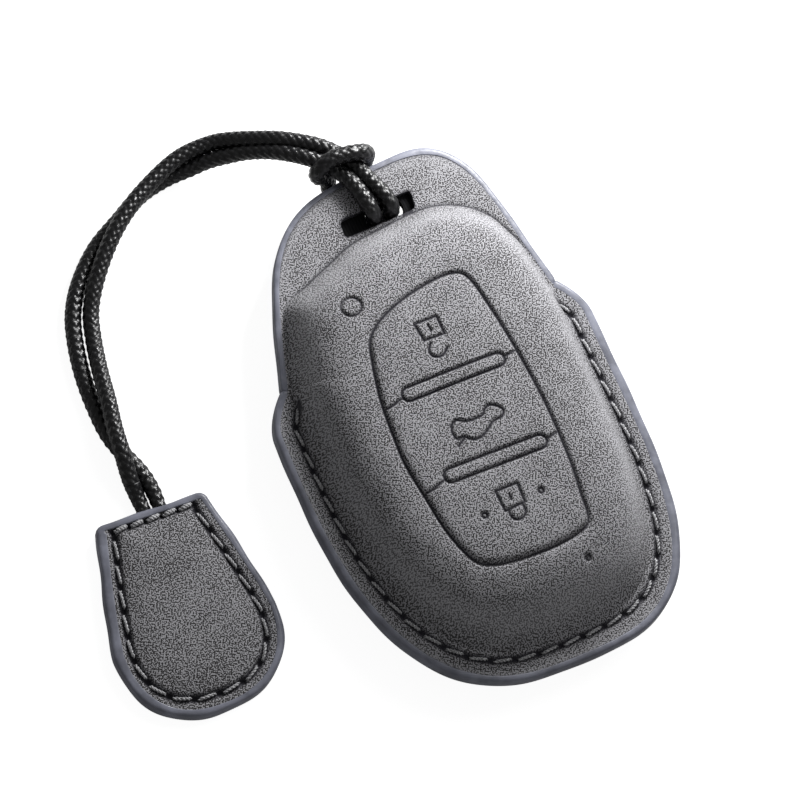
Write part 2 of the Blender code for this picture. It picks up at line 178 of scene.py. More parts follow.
class Studio(bpy.types.PropertyGroup):
    """Camera and lamps."""

    field_of_view: FloatProperty(
        name="Field of view", description="Of the square picture", subtype="ANGLE",
        default=math.radians(19.565))
    key_light: light_setting("Key light", "Power of the near lamp", 0.42)
    fill_light: light_setting("Fill light", "Power of the high lamp", 0.1)
    sky: light_setting("Sky", "Strength of the even light", 0.14)


# Outline of the pouch: how square its rounds are, and the bend from its side into the waist
RIM_EXPONENT = 3.0
TAB_ALONG_EXPONENT = 5.4
TAB_ACROSS_EXPONENT = 3.5
RIM_SIDE_RISE = 5.5 * MM
RIM_CORNER_RISE = 8.6 * MM

# Foot of the moulded form: how square it is, and how close it may come to the cut edge
FORM_EXPONENT = 3
SEAM_BLEND = 40
SEAM_LEAST = 0.5 * MM

# Above the waist the foot flares out to the open edge, on the left and on the right: from which
# height down it starts, and within what drop it grows to all of it
FLARE, FLARE_FROM, FLARE_LENGTH = 3.4 * MM, 11.0 * MM, 6.0 * MM
LEFT_FLARE, RIGHT_FLARE = (36.0 * MM, 14.0 * MM), (26.0 * MM, 8.0 * MM)
FLARE_EXPONENT = 7

# Across the tab the foot is pushed out or drawn in: how far, where across and how wide, all in
# millimetres. This grows from the widest line up to the rise below
FOOT_SHIFTS = ((1.0, 13, 11), (-1.3, -16.5, 6))
FOOT_SHIFT_RISE = 30

# How the soft cover lies: its ends lean to +X, its cross lines fan out, and its tip curls up
MIDDLE_Y = 2.35 * MM
LEAN, LEAN_LENGTH, LEAN_FROM = 2.305 * MM, 40.0 * MM, -10.55 * MM
FAN, FAN_HALF_WIDTH, FAN_LENGTH, FAN_FROM = 0.53 * MM, 30.0 * MM, 40.0 * MM, -2.65 * MM
CURL, CURL_LENGTH, CURL_EXPONENT = 0.9 * MM, 40.0 * MM, 6

# How the domes rise from foot to crown: reach and height
FRONT_PROFILE = (
    (1.0, 0.0), (0.985, 0.08), (0.955, 0.23), (0.92, 0.41), (0.87, 0.605), (0.80, 0.775),
    (0.70, 0.895), (0.50, 0.97), (0.25, 0.995), (0.0, 1.0),
)
BACK_PROFILE = (
    (1.0, 0.0), (0.985, 0.06), (0.955, 0.25), (0.92, 0.48), (0.87, 0.70), (0.80, 0.88),
    (0.72, 0.97), (0.66, 1.0), (0.4, 1.0), (0.0, 1.0),
)

# Rings of points, as shares of the way out: fine and plain ones on the form, then on the rim
FINE_RINGS = np.concatenate([np.linspace(0.006, 0.66, 150), np.linspace(0.6655, 1, 54)])
PLAIN_RINGS = np.concatenate([np.linspace(0.04, 0.66, 16), np.linspace(0.68, 1, 34)])
RIM_RINGS = np.array([0.06, 0.13, 0.2, 0.28, 0.36, 0.44, 0.52, 0.6, 0.68, 0.76, 0.84, 0.91,
                      0.965, 1.0])
TAG_RINGS = np.concatenate([np.linspace(0.03, 0.7, 24), np.linspace(0.712, 1, 40)])

# Edge of the covers: how far its corners are eased, as a share of the leather and at most
EASE_SHARE, EASE_MOST = 0.3, 0.2 * MM

# Paleness of worn leather, by rings from the middle (1 is the form's foot, 2 the cut edge): how
# much, at which ring and how wide. Beyond these rings the front's cut edge is worn paler, and
# darkened with painted shade where the coat's lip lies on it
FRONT_WEAR, BACK_WEAR = (0.7, 0.9, 0.06), (0.6, 0.82, 0.06)
EDGE_WEAR, EDGE_WEAR_FROM = 0.5, 1.8
EDGE_SHADE, EDGE_SHADE_FROM = 0.5, 1.95

# Points round each piece's outline
BACK_POINTS, LINING_POINTS, TAG_POINTS = 520, 300, 480
COAT_POINTS, CREASE_POINTS, SEAM_POINTS, TAG_SEAM_POINTS = 1500, 900, 1600, 700

# The slot through both covers, and the slit in the linings, which opens only for the cord
SLOT_TURN = math.radians(0.4)
SLOT_EXPONENT = 4.5
LINING_SLIT = ((2.4 * MM, 38.75 * MM), (6.9 * MM, 38.95 * MM))
LINING_SLIT_RADIUS = 1.55 * MM
PUNCH_OVERRUN = 5 * MM
# How near the slot its walls count, and the painted shade on those walls and round the slot: how
# dark and how wide
SLOT_WALL, SLOT_SHADE, SLOT_SHADE_WIDTH = 0.03 * MM, 0.35, 0.8 * MM

# The button panel and the marks pressed into the front, in millimetres as the pouch lies
PANEL = (
    (-10.7, 15.3), (-12.0, 11.6), (-13.1, 7.2), (-13.8, 3.2), (-14.2, -1.1), (-14.5, -6.3),
    (-13.9, -12.7), (-13.2, -18.6), (-12.1, -23.0), (-10.5, -26.4), (-8.3, -27.8),
    (-5.5, -28.5), (-2.1, -28.9), (2.3, -29.1), (7.1, -28.7), (9.6, -27.9), (10.4, -26.7),
    (10.9, -22.8), (11.6, -18.0), (12.1, -11.7), (12.3, -5.2), (12.2, -0.4), (11.9, 5.0),
    (11.5, 9.7), (11.0, 14.1), (10.6, 17.2), (10.1, 19.3), (9.3, 20.6), (8.0, 21.2),
    (5.4, 21.4), (1.4, 20.9), (-2.9, 19.9), (-8.1, 17.7),
)
BARS = (((-8.8, 4.1), (8.1, 3.9)), ((-8.4, -11.5), (8.3, -12.0)))
BAR_HALF_WIDTH = 1.2
BAR_JOINS = (
    ((-13.8, 3.2), (-12.2, 3.3), (-10.0, 4.0)), ((9.3, 4.0), (10.4, 4.1), (11.9, 4.4)),
    ((-13.9, -12.7), (-12.0, -12.5), (-9.6, -11.7)), ((9.5, -11.9), (10.6, -11.8), (12.1, -11.4)),
)
OPEN_LOCK = ((-2.6, 15.0), (1.6, 15.0), (1.5, 11.6), (-2.3, 11.7), (-2.6, 15.0))
OPEN_LOCK_KEY = ((-0.5, 14.1), (-0.4, 12.9))
OPEN_SHACKLE = ((-1.5, 10.9), (-2.2, 10.0), (-2.3, 8.9), (-1.5, 8.2), (-0.3, 8.2), (0.8, 9.1))
LOCK = ((-2.7, -16.9), (1.4, -17.0), (1.2, -20.4), (-2.6, -20.6), (-2.7, -16.9))
LOCK_KEY = ((-0.7, -18.2), (-0.8, -19.2))
SHACKLE = ((-1.9, -20.6), (-2.1, -21.6), (-1.5, -22.6), (-0.3, -22.7), (0.6, -22.0), (0.7, -20.5))
CAR = (
    (-5.0, -4.8), (-4.3, -3.5), (-3.3, -3.2), (-1.9, -4.0), (1.2, -4.0), (2.1, -3.1),
    (3.0, -2.9), (4.2, -3.6), (4.8, -4.6), (4.2, -5.5), (2.2, -5.8), (0.7, -6.8),
    (-1.0, -7.5), (-2.4, -7.2), (-3.4, -6.3), (-4.7, -6.2), (-5.0, -4.8),
)
BOOT_LID = ((-3.5, -6.6), (-5.0, -7.4))
LAMP_RING = (-10.9, 22.3, 1.75)
STUDS = ((7.4, -32.9, 0.42), (-6.1, -19.9, 0.42), (4.6, -19.7, 0.42))

# The ground that holds those marks, in millimetres: its bounds, how the panel's edge sinks on
# the inside and outside, how the buttons and bars swell between their lines, and how dark and
# wide a line is darkened, by burnish and painted shade: its core, which widens with the line,
# and its halo of painted shade
MARKS_HALF_WIDTH, MARKS_LOW, MARKS_HIGH = 17, -36, 27
PANEL_SINK, PANEL_SINK_INSIDE, PANEL_SINK_OUTSIDE = 0.16, 1.3, 2.3
BUTTON_SWELL, BUTTON_SWELL_EDGE, BUTTON_SWELL_BAR = 0.16, 4.0, 3.5
BAR_SWELL = 0.10
STAIN_SHADE_CORE, STAIN_SHADE_CORE_WIDTH, STAIN_SHADE_CORE_GROWTH = 1.2, 0.26, 0.24
STAIN_SHADE_HALO, STAIN_SHADE_HALO_SHARE = 0.15, 2.0

# The crease at the form's foot: it fades in up the tab, and out toward the tab's left edge
CREASE_DEPTH, CREASE_HALF_WIDTH = 0.16 * MM, 0.6 * MM
CREASE_BOTTOM, CREASE_FADE = 21 * MM, 4 * MM
CREASE_LEFT, CREASE_LEFT_FADE = -19.5 * MM, 4.5 * MM
# Painted shade along the crease: how dark, and how wide, twice over
CREASE_SHADES = ((0.7, 0.36 * MM), (0.22, 1.3 * MM))

# Seams: channel and holes pressed in the leather, how dark their painted shade is, and how far
# round and below a seam its leather is pressed
CHANNEL_HALF_WIDTH, CHANNEL_SHADE, CHANNEL_SHADE_MOST = 1.05 * MM, 1.35, 0.92
PIT_RADIUS, PIT_SHARE = 1.0 * MM, 1.3
PIT_SHADE_RADIUS, PIT_SHADE = 1.05 * MM, 1.5
SEAM_MARGIN, SEAM_LIMIT = 2 * MM, 1.6 * MM
RIM_SEAM_DROP = 1.0 * MM

# Stitches: the part of the way between two holes that shows, the slant in millimetres, the twist
# of the two plies with their swing and radius as shares of the thread, and the rise from one
# hole and the dive into the next. Chance shifts each stitch and turns its twist
STITCH_START, STITCH_SHARE = 0.15, 0.70
STITCH_SLANT, STITCH_TURNS = 0.32, 2.3
STITCH_STEPS, PLY_SIDES = 27, 8
PLY_SWING, PLY_RADIUS, PLY_THINNING, PLY_EXPONENT = 0.23, 0.27, 0.35, 8
STITCH_DIVE, RISE_EXPONENT, DIVE_EXPONENT = 0.75, 0.55, 0.4
STITCH_SEED, STITCH_UNEVENNESS, STITCH_ROLL = 7, 0.035, 20
RIM_STITCH_LIFT = 0.06 * MM

# A line that starts this near to upright has its cross directions taken from X, not from Z
NEARLY_UPRIGHT = 0.1

# The edge paint's section: reach as a share, and height as a share of the half, first on the
# lips over the leather and then outside. How an open coat's ends round off and how it overlaps
# the next one, in points. Its unevenness: a quick and a slow wave, by turns round a loop or by
# millimetres along an open edge. Its lips in millimetres, and how they widen
LIP_SHAPE = ((1.0, 0.985), (0.6, 1.035))
COAT_SHAPE = ((0.12, 1.055), (0.42, 1.03), (0.68, 0.93), (0.87, 0.74), (0.97, 0.46), (1.0, 0.15))
COAT_END, COAT_END_SHARE, COAT_END_LEAST = 1.3 * MM, 0.25, 0.02
COAT_OVERLAP = 3
COAT_WAVE, COAT_SLOW_SHARE, COAT_WAVE_START = 0.05, 0.7, 0.4
LOOP_WAVES, OPEN_WAVES = (11, 5), (0.55, 0.23)
TAB_COAT_SHARE = 0.97
RIM_LIP, TAB_LIP, TAG_LIP = 0.26, 0.12, 0.2
RIM_LIP_GROWTH, TAG_LIP_GROWTH = 1.8, 3.2

# The cord's route: that of the solids, moved by up to 1 mm to where the braid lies in the knot
# and at the tag. Past both ends, as the points next to them lead, it is tucked into the tag
CORD_ROUTE = tuple((x * MM, y * MM, z * MM) for x, y, z in (
    (-54.8, 7.16, 1.5), (-54.85, 9.7, 1.7), (-54.9, 13.0, 3.0), (-54.5, 17.4, 4.4),
    (-54.0, 21.6, 4.35), (-53.0, 26.7, 3.95), (-52.0, 32.5, 2.9), (-50.6, 38.6, 2.0),
    (-49.1, 43.3, 2.0), (-46.4, 47.7, 2.8), (-41.4, 53.4, 3.9), (-36.8, 57.3, 4.4),
    (-31.2, 60.7, 4.4), (-23.5, 63.7, 4.9), (-17.3, 63.7, 5.9), (-14.3, 62.4, 7.4),
    (-11.0, 60.4, 9.2), (-7.5, 58.2, 10.8), (-4.1, 55.9, 11.5), (-1.4, 53.8, 11.8),
    (0.9, 51.4, 11.7), (2.5, 48.9, 11.7), (3.6, 46.4, 11.7), (4.6, 43.6, 11.7),
    (5.5, 41.0, 11.55), (5.85, 39.35, 11.05), (6.0, 38.85, 9.7), (6.0, 38.9, 8.2),
    (6.0, 38.85, 6.7), (5.9, 39.35, 5.3), (5.9, 40.9, 4.8), (5.9, 44.0, 4.75),
    (6.0, 46.9, 4.8), (6.05, 48.65, 5.4), (6.05, 49.52, 6.9), (6.05, 49.65, 8.6),
    (6.05, 49.6, 10.4), (5.7, 49.4, 12.2), (4.65, 49.3, 13.85), (2.8, 49.4, 14.7),
    (0.9, 49.65, 14.85), (-1.2, 49.75, 14.8), (-2.9, 49.4, 14.3), (-4.3, 49.0, 12.6),
    (-3.7, 48.95, 10.5), (-2.2, 49.15, 8.8), (-1.5, 49.0, 7.2), (-1.5, 48.1, 5.7),
    (-1.7, 46.3, 4.85), (-1.0, 43.5, 4.75), (0.7, 40.8, 4.8),
    (2.05, 39.25, 5.3), (2.6, 38.7, 6.7), (2.7, 38.72, 8.2), (2.5, 38.7, 9.7),
    (2.15, 39.1, 11.15), (1.9, 40.7, 11.75), (1.45, 43.6, 11.85), (0.8, 46.0, 11.75),
    (-0.4, 48.4, 11.6), (-2.5, 51.0, 11.6), (-5.0, 53.3, 11.4), (-7.5, 55.4, 10.7),
    (-9.7, 57.2, 9.5), (-12.9, 59.1, 7.8), (-16.0, 60.3, 6.2), (-19.1, 61.3, 4.5),
    (-22.2, 61.7, 3.0), (-26.9, 61.9, 1.7), (-32.3, 60.7, 1.4), (-37.8, 57.7, 1.4),
    (-43.7, 54.2, 1.4), (-49.1, 48.9, 1.4), (-52.0, 44.3, 1.4), (-53.6, 39.6, 1.4),
    (-54.8, 33.4, 1.4), (-55.2, 27.3, 1.4), (-55.0, 21.8, 1.4), (-53.9, 17.5, 1.4),
    (-52.6, 13.6, 1.4), (-52.0, 9.8, 1.4), (-52.05, 6.96, 1.5),
))
CORD_TUCK, CORD_LEAD = 2.2 * MM, 8
CORD_END = 5.0 * MM
CORD_STEP = 0.2 * MM
CORD_SIDES = 44
BRAID_PROUD = 0.22 * MM
SCALE_ROUND, SCALE_ENDS, SCALE_SWELL = 0.6, 0.55, 0.45

# Pull tag: where its mouth lies and how it is turned, its corners, its plies and its crown
MOUTH = (-53.95 * MM, 6.75 * MM)
TAG_TURN = math.radians(-3.3)
TAG_CORNER = 0.6 * MM
TAG_EXPONENT = 2.3
TAG_FLARE_EXPONENT = 1.2
TAG_SKIN, TAG_INNER_SWELL = 0.9 * MM, 0.6
TAG_EDGE_EASE = 0.2 * MM
CROWN_SLOPE, CROWN_EXPONENT = 6.5 * MM, 2.2
FOAM_GAP, FOAM_ROLL, FOAM_SHARE, FOAM_SWELL = 0.15 * MM, 0.3 * MM, 0.93, 0.55

# Its seams: where the row round the sides starts, how far below a seam its leather is pressed
# as a share of the leather, where the row at the mouth lies and how its stitches differ, and
# side, height, groove, lift and thread of the front's and the back's
TAG_SEAM_TOP, TAG_SEAM_LIMIT = 1.3 * MM, 0.85
MOUTH_SEAM_DROP = 0.75 * MM
MOUTH_PITCH_SHARE, MOUTH_THREAD_SHARE = 0.72, 1.5
TAG_SIDES = (("front", 1, TAG_TOP, 1, 0.12 * MM, 1), ("back", -1, 0.0, 1.3, -0.28 * MM, 0.75))
TAG_COAT_WAVES = 1.6

# Camera and lamps: place, width and the setting with the power
CAMERA_PLACE = (-0.11469, -0.08674, 0.38215)
CAMERA_AXES = (
    (0.89298, -0.42427, 0.15027), (0.36158, 0.87503, 0.32185), (-0.26805, -0.23307, 0.93479),
)
LAMPS = (
    ("key lamp", (0.100, 0.108, 0.098), 0.06, "key_light"),
    ("fill lamp", (0.16, 0.02, 0.26), 0.10, "fill_light"),
)
LAMP_AIM = (-0.01, 0.0, 0.01)
FLOOR_SIZE, FLOOR_DROP = 6.0, 0.02 * MM

# What noise mostly lies between
NOISE_LOW, NOISE_HIGH = 0.3, 0.7

# Sockets of the mix node, when it mixes colours
MIX_SHARE, MIX_FIRST, MIX_SECOND, MIX_RESULT = 0, 6, 7, 2

# Distances are measured up to here, in metres or in millimetres, which is past every use of
# them. A stretch without length counts as this long when it is squared and divided by
FAR, NO_LENGTH = 9.0, 1e-18

Ply = namedtuple("Ply", "side level depth profile inset thickness around reaches rims")
TagPattern = namedtuple("TagPattern", "outline flat crown rows")
Row = namedtuple("Row", "name line pitch thickness")


def smooth_line(points, steps=12, is_loop=False):
    """A centripetal Catmull-Rom line through the points."""
    points = np.array(points, float)
    if is_loop:
        points = np.vstack([points[-1], points, points[0], points[1]])
    else:
        points = np.vstack([2 * points[0] - points[1], points, 2 * points[-1] - points[-2]])
    line = [points[1]]
    for p0, p1, p2, p3 in zip(points, points[1:], points[2:], points[3:]):
        t1 = np.linalg.norm(p1 - p0) ** 0.5
        t2 = t1 + np.linalg.norm(p2 - p1) ** 0.5
        t3 = t2 + np.linalg.norm(p3 - p2) ** 0.5
        for step in range(1, steps + 1):
            t = t1 + (t2 - t1) * step / steps
            a1 = p0 + (p1 - p0) * t / t1
            a2 = p1 + (p2 - p1) * (t - t1) / (t2 - t1)
            a3 = p2 + (p3 - p2) * (t - t2) / (t3 - t2)
            b1 = a1 + (a2 - a1) * t / t2
            b2 = a2 + (a3 - a2) * (t - t1) / (t3 - t1)
            line.append(b1 + (b2 - b1) * (t - t1) / (t2 - t1))
    return np.array(line)


def run_lengths(line):
    """How far along a line each of its points lies."""
    return np.concatenate([[0], np.cumsum(np.linalg.norm(np.diff(line, axis=0), axis=1))])


def points_at(line, places):
    """Points of a line at these lengths along it."""
    lengths = run_lengths(line)
    return np.stack([np.interp(places, lengths, column) for column in line.T], axis=1)


def beyond(tip, before, length):
    """The point that lies this length past the tip of a line."""
    run = tip - before
    return tip + run / np.linalg.norm(run) * length


def even_loop(outline, count):
    """An outline's points spread evenly round it."""
    closed = np.vstack([outline, outline[:1]])
    total = run_lengths(closed)[-1]
    return points_at(closed, np.arange(count) * total / count)


def quarter(half_width, height, exponent, steps):
    """A quarter of a squarish round, from its side to its end."""
    angle = np.linspace(0, math.pi / 2, steps + 1)
    x = half_width * np.abs(np.cos(angle)) ** (2 / exponent)
    y = height * np.abs(np.sin(angle)) ** (2 / exponent)
    x[-1] = 0.0
    return np.stack([x, y], axis=1)


def mirrored(half):
    """A closed outline, counterclockwise, from its right half."""
    return np.vstack([half, half[-2:0:-1] * (-1, 1)])


def pouch_outline(sizes):
    """The cut edge about the middle of the pouch, from the bottom round to the bottom."""
    side = quarter(sizes.rim_half_width, sizes.rim_drop, RIM_EXPONENT, steps=200)[::-1] * (1, -1)
    start = np.array((sizes.rim_half_width, RIM_SIDE_RISE))
    corner = np.array((sizes.rim_half_width, RIM_CORNER_RISE))
    waist = np.array((sizes.waist_half_width, sizes.waist_rise))
    t = np.linspace(0, 1, 20)[:, None]
    bend = start * (1 - t) ** 2 + 2 * corner * t * (1 - t) + waist * t**2
    angle = np.linspace(0, math.pi / 2, 160)
    rise = np.sin(angle) ** (2 / TAB_ALONG_EXPONENT)
    y = sizes.cap_rise + (sizes.tab_rise - sizes.cap_rise) * rise
    narrowing = (y - sizes.waist_rise) / (sizes.tab_rise - sizes.waist_rise)
    x = sizes.waist_half_width + (sizes.tip_half_width - sizes.waist_half_width) * narrowing
    cap = np.stack([x * np.abs(np.cos(angle)) ** (2 / TAB_ACROSS_EXPONENT), y], axis=1)
    cap[-1] = 0.0, sizes.tab_rise
    return mirrored(np.vstack([side, bend, cap]))


def tag_outline(sizes):
    """The tag's cut edge: X across, and Y from the mouth down to the round end."""
    angle = np.linspace(0, math.pi / 2, 5)
    turn = np.stack([sizes.mouth_half_width - TAG_CORNER * (1 - np.sin(angle)),
                     -TAG_CORNER * (1 - np.cos(angle))], axis=1)
    t = np.linspace(0, 1, 30)[1:-1]
    flare = sizes.half_width - sizes.mouth_half_width
    side = np.stack([sizes.mouth_half_width + flare * (1 - (1 - t) ** TAG_FLARE_EXPONENT),
                     -TAG_CORNER - (sizes.wide_drop - TAG_CORNER) * t], axis=1)
    end = quarter(sizes.half_width, sizes.length - sizes.wide_drop, TAG_EXPONENT, steps=60)
    end = end * (1, -1) - (0, sizes.wide_drop)
    half = np.vstack([[(0.0, 0.0)], turn, side, end])
    return mirrored(half) * (-1, 1)


def outward(outline):
    """Unit offsets that move both edges at each point of an outline outward."""
    before = outline - np.roll(outline, 1, axis=0)
    after = np.roll(outline, -1, axis=0) - outline
    first = np.stack([before[:, 1], -before[:, 0]], axis=1)
    second = np.stack([after[:, 1], -after[:, 0]], axis=1)
    first /= np.linalg.norm(first, axis=1)[:, None]
    second /= np.linalg.norm(second, axis=1)[:, None]
    return (first + second) / (1 + (first * second).sum(axis=1))[:, None]


def flank_flare(edge):
    """How much of the flare the form's foot has toward each edge point, from 0 to 1."""
    on_left = edge[:, 0] < 0
    top = np.where(on_left, LEFT_FLARE[0], RIGHT_FLARE[0])
    fall = np.where(on_left, LEFT_FLARE[1], RIGHT_FLARE[1])
    flare = np.clip((top - edge[:, 1]) / fall, 0, 1)
    return flare**2 * (3 - 2 * flare) * np.clip((edge[:, 1] - FLARE_FROM) / FLARE_LENGTH, 0, 1)


def dome_foot(edge, sizes, flared=True):
    """How far the foot of the moulded form lies from the middle, toward each edge point."""
    reach = np.linalg.norm(edge, axis=1)
    half_width = sizes.rim_half_width - sizes.seam_width
    height = np.where(edge[:, 1] > 0, sizes.dome_rise, sizes.rim_drop - sizes.seam_width)
    free = ((np.abs(edge[:, 0]) / reach / half_width) ** FORM_EXPONENT
            + (np.abs(edge[:, 1]) / reach / height) ** FORM_EXPONENT) ** (-1 / FORM_EXPONENT)
    upper = np.clip(edge[:, 1] / MM / FOOT_SHIFT_RISE, 0, 1) ** 2
    for shift, middle, width in FOOT_SHIFTS:
        free = free + upper * MM * shift * np.exp(-((edge[:, 0] / MM - middle) / width) ** 2)
    free = free + FLARE * flank_flare(edge) * flared
    bounds = (free / MM) ** -SEAM_BLEND + ((reach - SEAM_LEAST) / MM) ** -SEAM_BLEND
    return bounds ** (-1 / SEAM_BLEND) * MM


def settle(points):
    """Points of the true pattern about its middle, moved to where the soft cover lies."""
    x = points[..., 0]
    y = points[..., 1] + MIDDLE_Y
    lean = ((y - LEAN_FROM) / LEAN_LENGTH) ** 2
    lean_middle = ((MIDDLE_Y - LEAN_FROM) / LEAN_LENGTH) ** 2
    fan = FAN * (y - FAN_FROM) / FAN_LENGTH
    curl = CURL * (np.maximum(y, 0) / CURL_LENGTH) ** CURL_EXPONENT
    moved = points.copy()
    moved[..., 0] = x + LEAN * (lean - lean_middle)
    moved[..., 1] = y + (fan + curl) * moved[..., 0] / FAN_HALF_WIDTH
    return moved


def soft_wave(x, y):
    """The slight unevenness of hand-pressed leather."""
    x, y = x / MM, y / MM
    broad = 0.035 * np.sin(0.31 * x + 0.17 * y + 0.6) + 0.03 * np.sin(0.43 * y - 0.19 * x)
    small = 0.018 * np.sin(0.9 * x + 0.4) * np.sin(0.77 * y + 1.1)
    return MM * (broad + small)


def distance_to(points, lines):
    """The distance from each point to the nearest of some lines, all flat."""
    best = np.full(len(points), FAR)
    for line in lines:
        line = np.asarray(line, float)
        for start, end in zip(line[:-1], line[1:]):
            run = end - start
            share = np.clip((points - start) @ run / max(run @ run, NO_LENGTH), 0, 1)
            gap = points - start - share[:, None] * run
            best = np.minimum(best, np.hypot(gap[:, 0], gap[:, 1]))
    return best


def inside(points, outline):
    """Which points lie inside a closed outline."""
    found = np.zeros(len(points), bool)
    x, y = points[:, 0], points[:, 1]
    for (x1, y1), (x2, y2) in zip(outline, np.roll(outline, -1, axis=0)):
        crosses = (y1 > y) != (y2 > y)
        if crosses.any():
            found ^= crosses & (x < x1 + (y - y1) * (x2 - x1) / (y2 - y1))
    return found


def circle(x, y, radius, steps=28):
    """A closed round line."""
    angle = np.linspace(0, 2 * math.pi, steps + 1)
    return np.stack([x + radius * np.cos(angle), y + radius * np.sin(angle)], axis=1)


def pill(start, end, radius, steps=10):
    """A closed line round two points, straight between them and round at the ends."""
    start, end = np.array(start, float), np.array(end, float)
    turn = math.atan2(*(end - start)[::-1])
    arcs = []
    for middle, first in ((end, turn - math.pi / 2), (start, turn + math.pi / 2)):
        angle = first + np.linspace(0, math.pi, steps + 1)
        arcs.append(middle + radius * np.stack([np.cos(angle), np.sin(angle)], axis=1))
    return np.vstack([*arcs, arcs[0][:1]])


def soft_line(distance, half_width):
    """One in the middle of a pressed line, falling smoothly to nothing at its side."""
    share = np.clip(distance / half_width, 0, 1)
    return (1 - share**2) ** 2


def mesh_object(name, points, faces, look, smooth=True):
    """A new closed piece in the scene: its faces are turned outward, and it has one material."""
    data = bpy.data.meshes.new(name)
    data.from_pydata(np.asarray(points).tolist(), [], faces)
    data.validate()
    if smooth:
        data.shade_smooth()
    data.materials.append(finish(look))
    mesh = bmesh.new()
    mesh.from_mesh(data)
    bmesh.ops.recalc_face_normals(mesh, faces=mesh.faces)
    mesh.to_mesh(data)
    mesh.free()
    piece = bpy.data.objects.new(name, data)
    bpy.context.scene.collection.objects.link(piece)
    return piece


def ring_faces(rings, around, is_tube=False, first=0):
    """Quads between rings of points that are numbered in turn."""
    faces = []
    index = np.arange(around)
    following = (index + 1) % around
    for ring in range(rings if is_tube else rings - 1):
        here, there = first + ring * around, first + (ring + 1) % rings * around
        quads = np.stack([here + index, here + following, there + following, there + index], 1)
        faces.extend(quads.tolist())
    return faces


def capped_rings(rings, around, first=0):
    """Faces of a closed bar: its rings, and one face over each end."""
    start = [first + i for i in range(around)]
    end = [first + (rings - 1) * around + i for i in range(around)]
    return ring_faces(rings, around, first=first) + [start, end[::-1]]


def shell_object(name, outer, inner, around, look):
    """A closed piece from its two faces, each a middle point with rings of points round it."""
    size = len(outer)
    edge = size - around
    turns = [(i, (i + 1) % around) for i in range(around)]
    rings = ring_faces(size // around, around, first=1)
    faces = rings + [[0, 1 + after, 1 + i] for i, after in turns]
    faces += [[size + corner for corner in face[::-1]] for face in rings]
    faces += [[size, size + 1 + i, size + 1 + after] for i, after in turns]
    faces += [[edge + i, edge + after, size + edge + after, size + edge + i]
              for i, after in turns]
    return mesh_object(name, np.vstack([outer, inner]), faces, look)


def add_attribute(piece, name, values):
    """Gives each point of a piece a value that a material can read."""
    layer = piece.data.attributes.new(name, "FLOAT", "POINT")
    layer.data.foreach_set("value", np.asarray(values, np.float32))


def point_array(piece):
    """The points of a piece."""
    points = np.empty(len(piece.data.vertices) * 3)
    piece.data.vertices.foreach_get("co", points)
    return points.reshape(-1, 3)


def set_points(piece, points):
    """Moves the points of a piece."""
    piece.data.vertices.foreach_set("co", np.asarray(points, np.float32).ravel())
    piece.data.update()


def ride(piece, body, slot, *nodes):
    """Seats a piece on its body, in place of the plain solids that it stands for."""
    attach(piece, body)
    if nodes:
        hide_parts(*nodes)


def new_material(name):
    """A material, its node tree and its principled shader."""
    material = bpy.data.materials.new(name)
    material.use_nodes = True
    tree = material.node_tree
    return material, tree, tree.nodes["Principled BSDF"]


def add_node(tree, kind, inputs=None, **settings):
    """A shader node with its settings, and with its inputs linked or set."""
    node = tree.nodes.new(kind)
    for key, value in settings.items():
        setattr(node, key, value)
    for key, value in (inputs or {}).items():
        if isinstance(value, bpy.types.NodeSocket):
            tree.links.new(value, node.inputs[key])
        else:
            node.inputs[key].default_value = value
    return node


def noise(tree, per_mm, detail=2.0, roughness=0.5):
    """Noise on the piece's own coordinates, with so many waves in a millimetre."""
    place = add_node(tree, "ShaderNodeTexCoord").outputs["Object"]
    made = add_node(tree, "ShaderNodeTexNoise", {
        "Vector": place, "Scale": per_mm / MM, "Detail": detail, "Roughness": roughness})
    return made.outputs["Fac"]


def maze(tree, per_mm, turn=0.5):
    """Flat noise of one even width, which a narrow cut turns into short dark worms."""
    place = add_node(tree, "ShaderNodeTexCoord").outputs["Object"]
    turned = add_node(tree, "ShaderNodeMapping", {"Vector": place, "Rotation": (0, 0, turn)})
    made = add_node(tree, "ShaderNodeTexNoise", {
        "Vector": turned.outputs[0], "Scale": per_mm / MM, "Detail": 0.0, "Distortion": 0.15},
        noise_dimensions="2D")
    return made.outputs["Fac"]


def remap(tree, value, low, high, new_low=0.0, new_high=1.0, kind="SMOOTHSTEP"):
    """Brings a value from one range to another, and cuts it off there."""
    made = add_node(tree, "ShaderNodeMapRange", {
        "Value": value, "From Min": low, "From Max": high, "To Min": new_low,
        "To Max": new_high}, interpolation_type=kind)
    return made.outputs["Result"]


def from_noise(tree, value, new_low=0.0, new_high=1.0):
    """Spreads a noise over a range."""
    return remap(tree, value, NOISE_LOW, NOISE_HIGH, new_low, new_high)


def math_node(tree, operation, first, second):
    """A step of arithmetic on two values."""
    made = add_node(tree, "ShaderNodeMath", {0: first, 1: second}, operation=operation)
    return made.outputs[0]


def mix_colour(tree, share, first, second, blend="MIX"):
    """Mixes two colours, each of them a socket or a plain colour."""
    inputs = {MIX_SHARE: share}
    for key, value in ((MIX_FIRST, first), (MIX_SECOND, second)):
        is_socket = isinstance(value, bpy.types.NodeSocket)
        inputs[key] = value if is_socket else (*value[:3], 1.0)
    made = add_node(tree, "ShaderNodeMix", inputs, data_type="RGBA", blend_type=blend)
    return made.outputs[MIX_RESULT]


def attribute(tree, name):
    """The value that a piece's points carry under this name."""
    return add_node(tree, "ShaderNodeAttribute", attribute_name=name).outputs["Fac"]


def bump(tree, height, distance, strength, below=None):
    """A bumped normal, on top of another one if that is given."""
    inputs = {"Height": height, "Distance": distance, "Strength": strength}
    if below:
        inputs["Normal"] = below
    return add_node(tree, "ShaderNodeBump", inputs).outputs["Normal"]


def scaled(colour, share):
    """A colour made darker or lighter."""
    return tuple(share * value for value in colour)


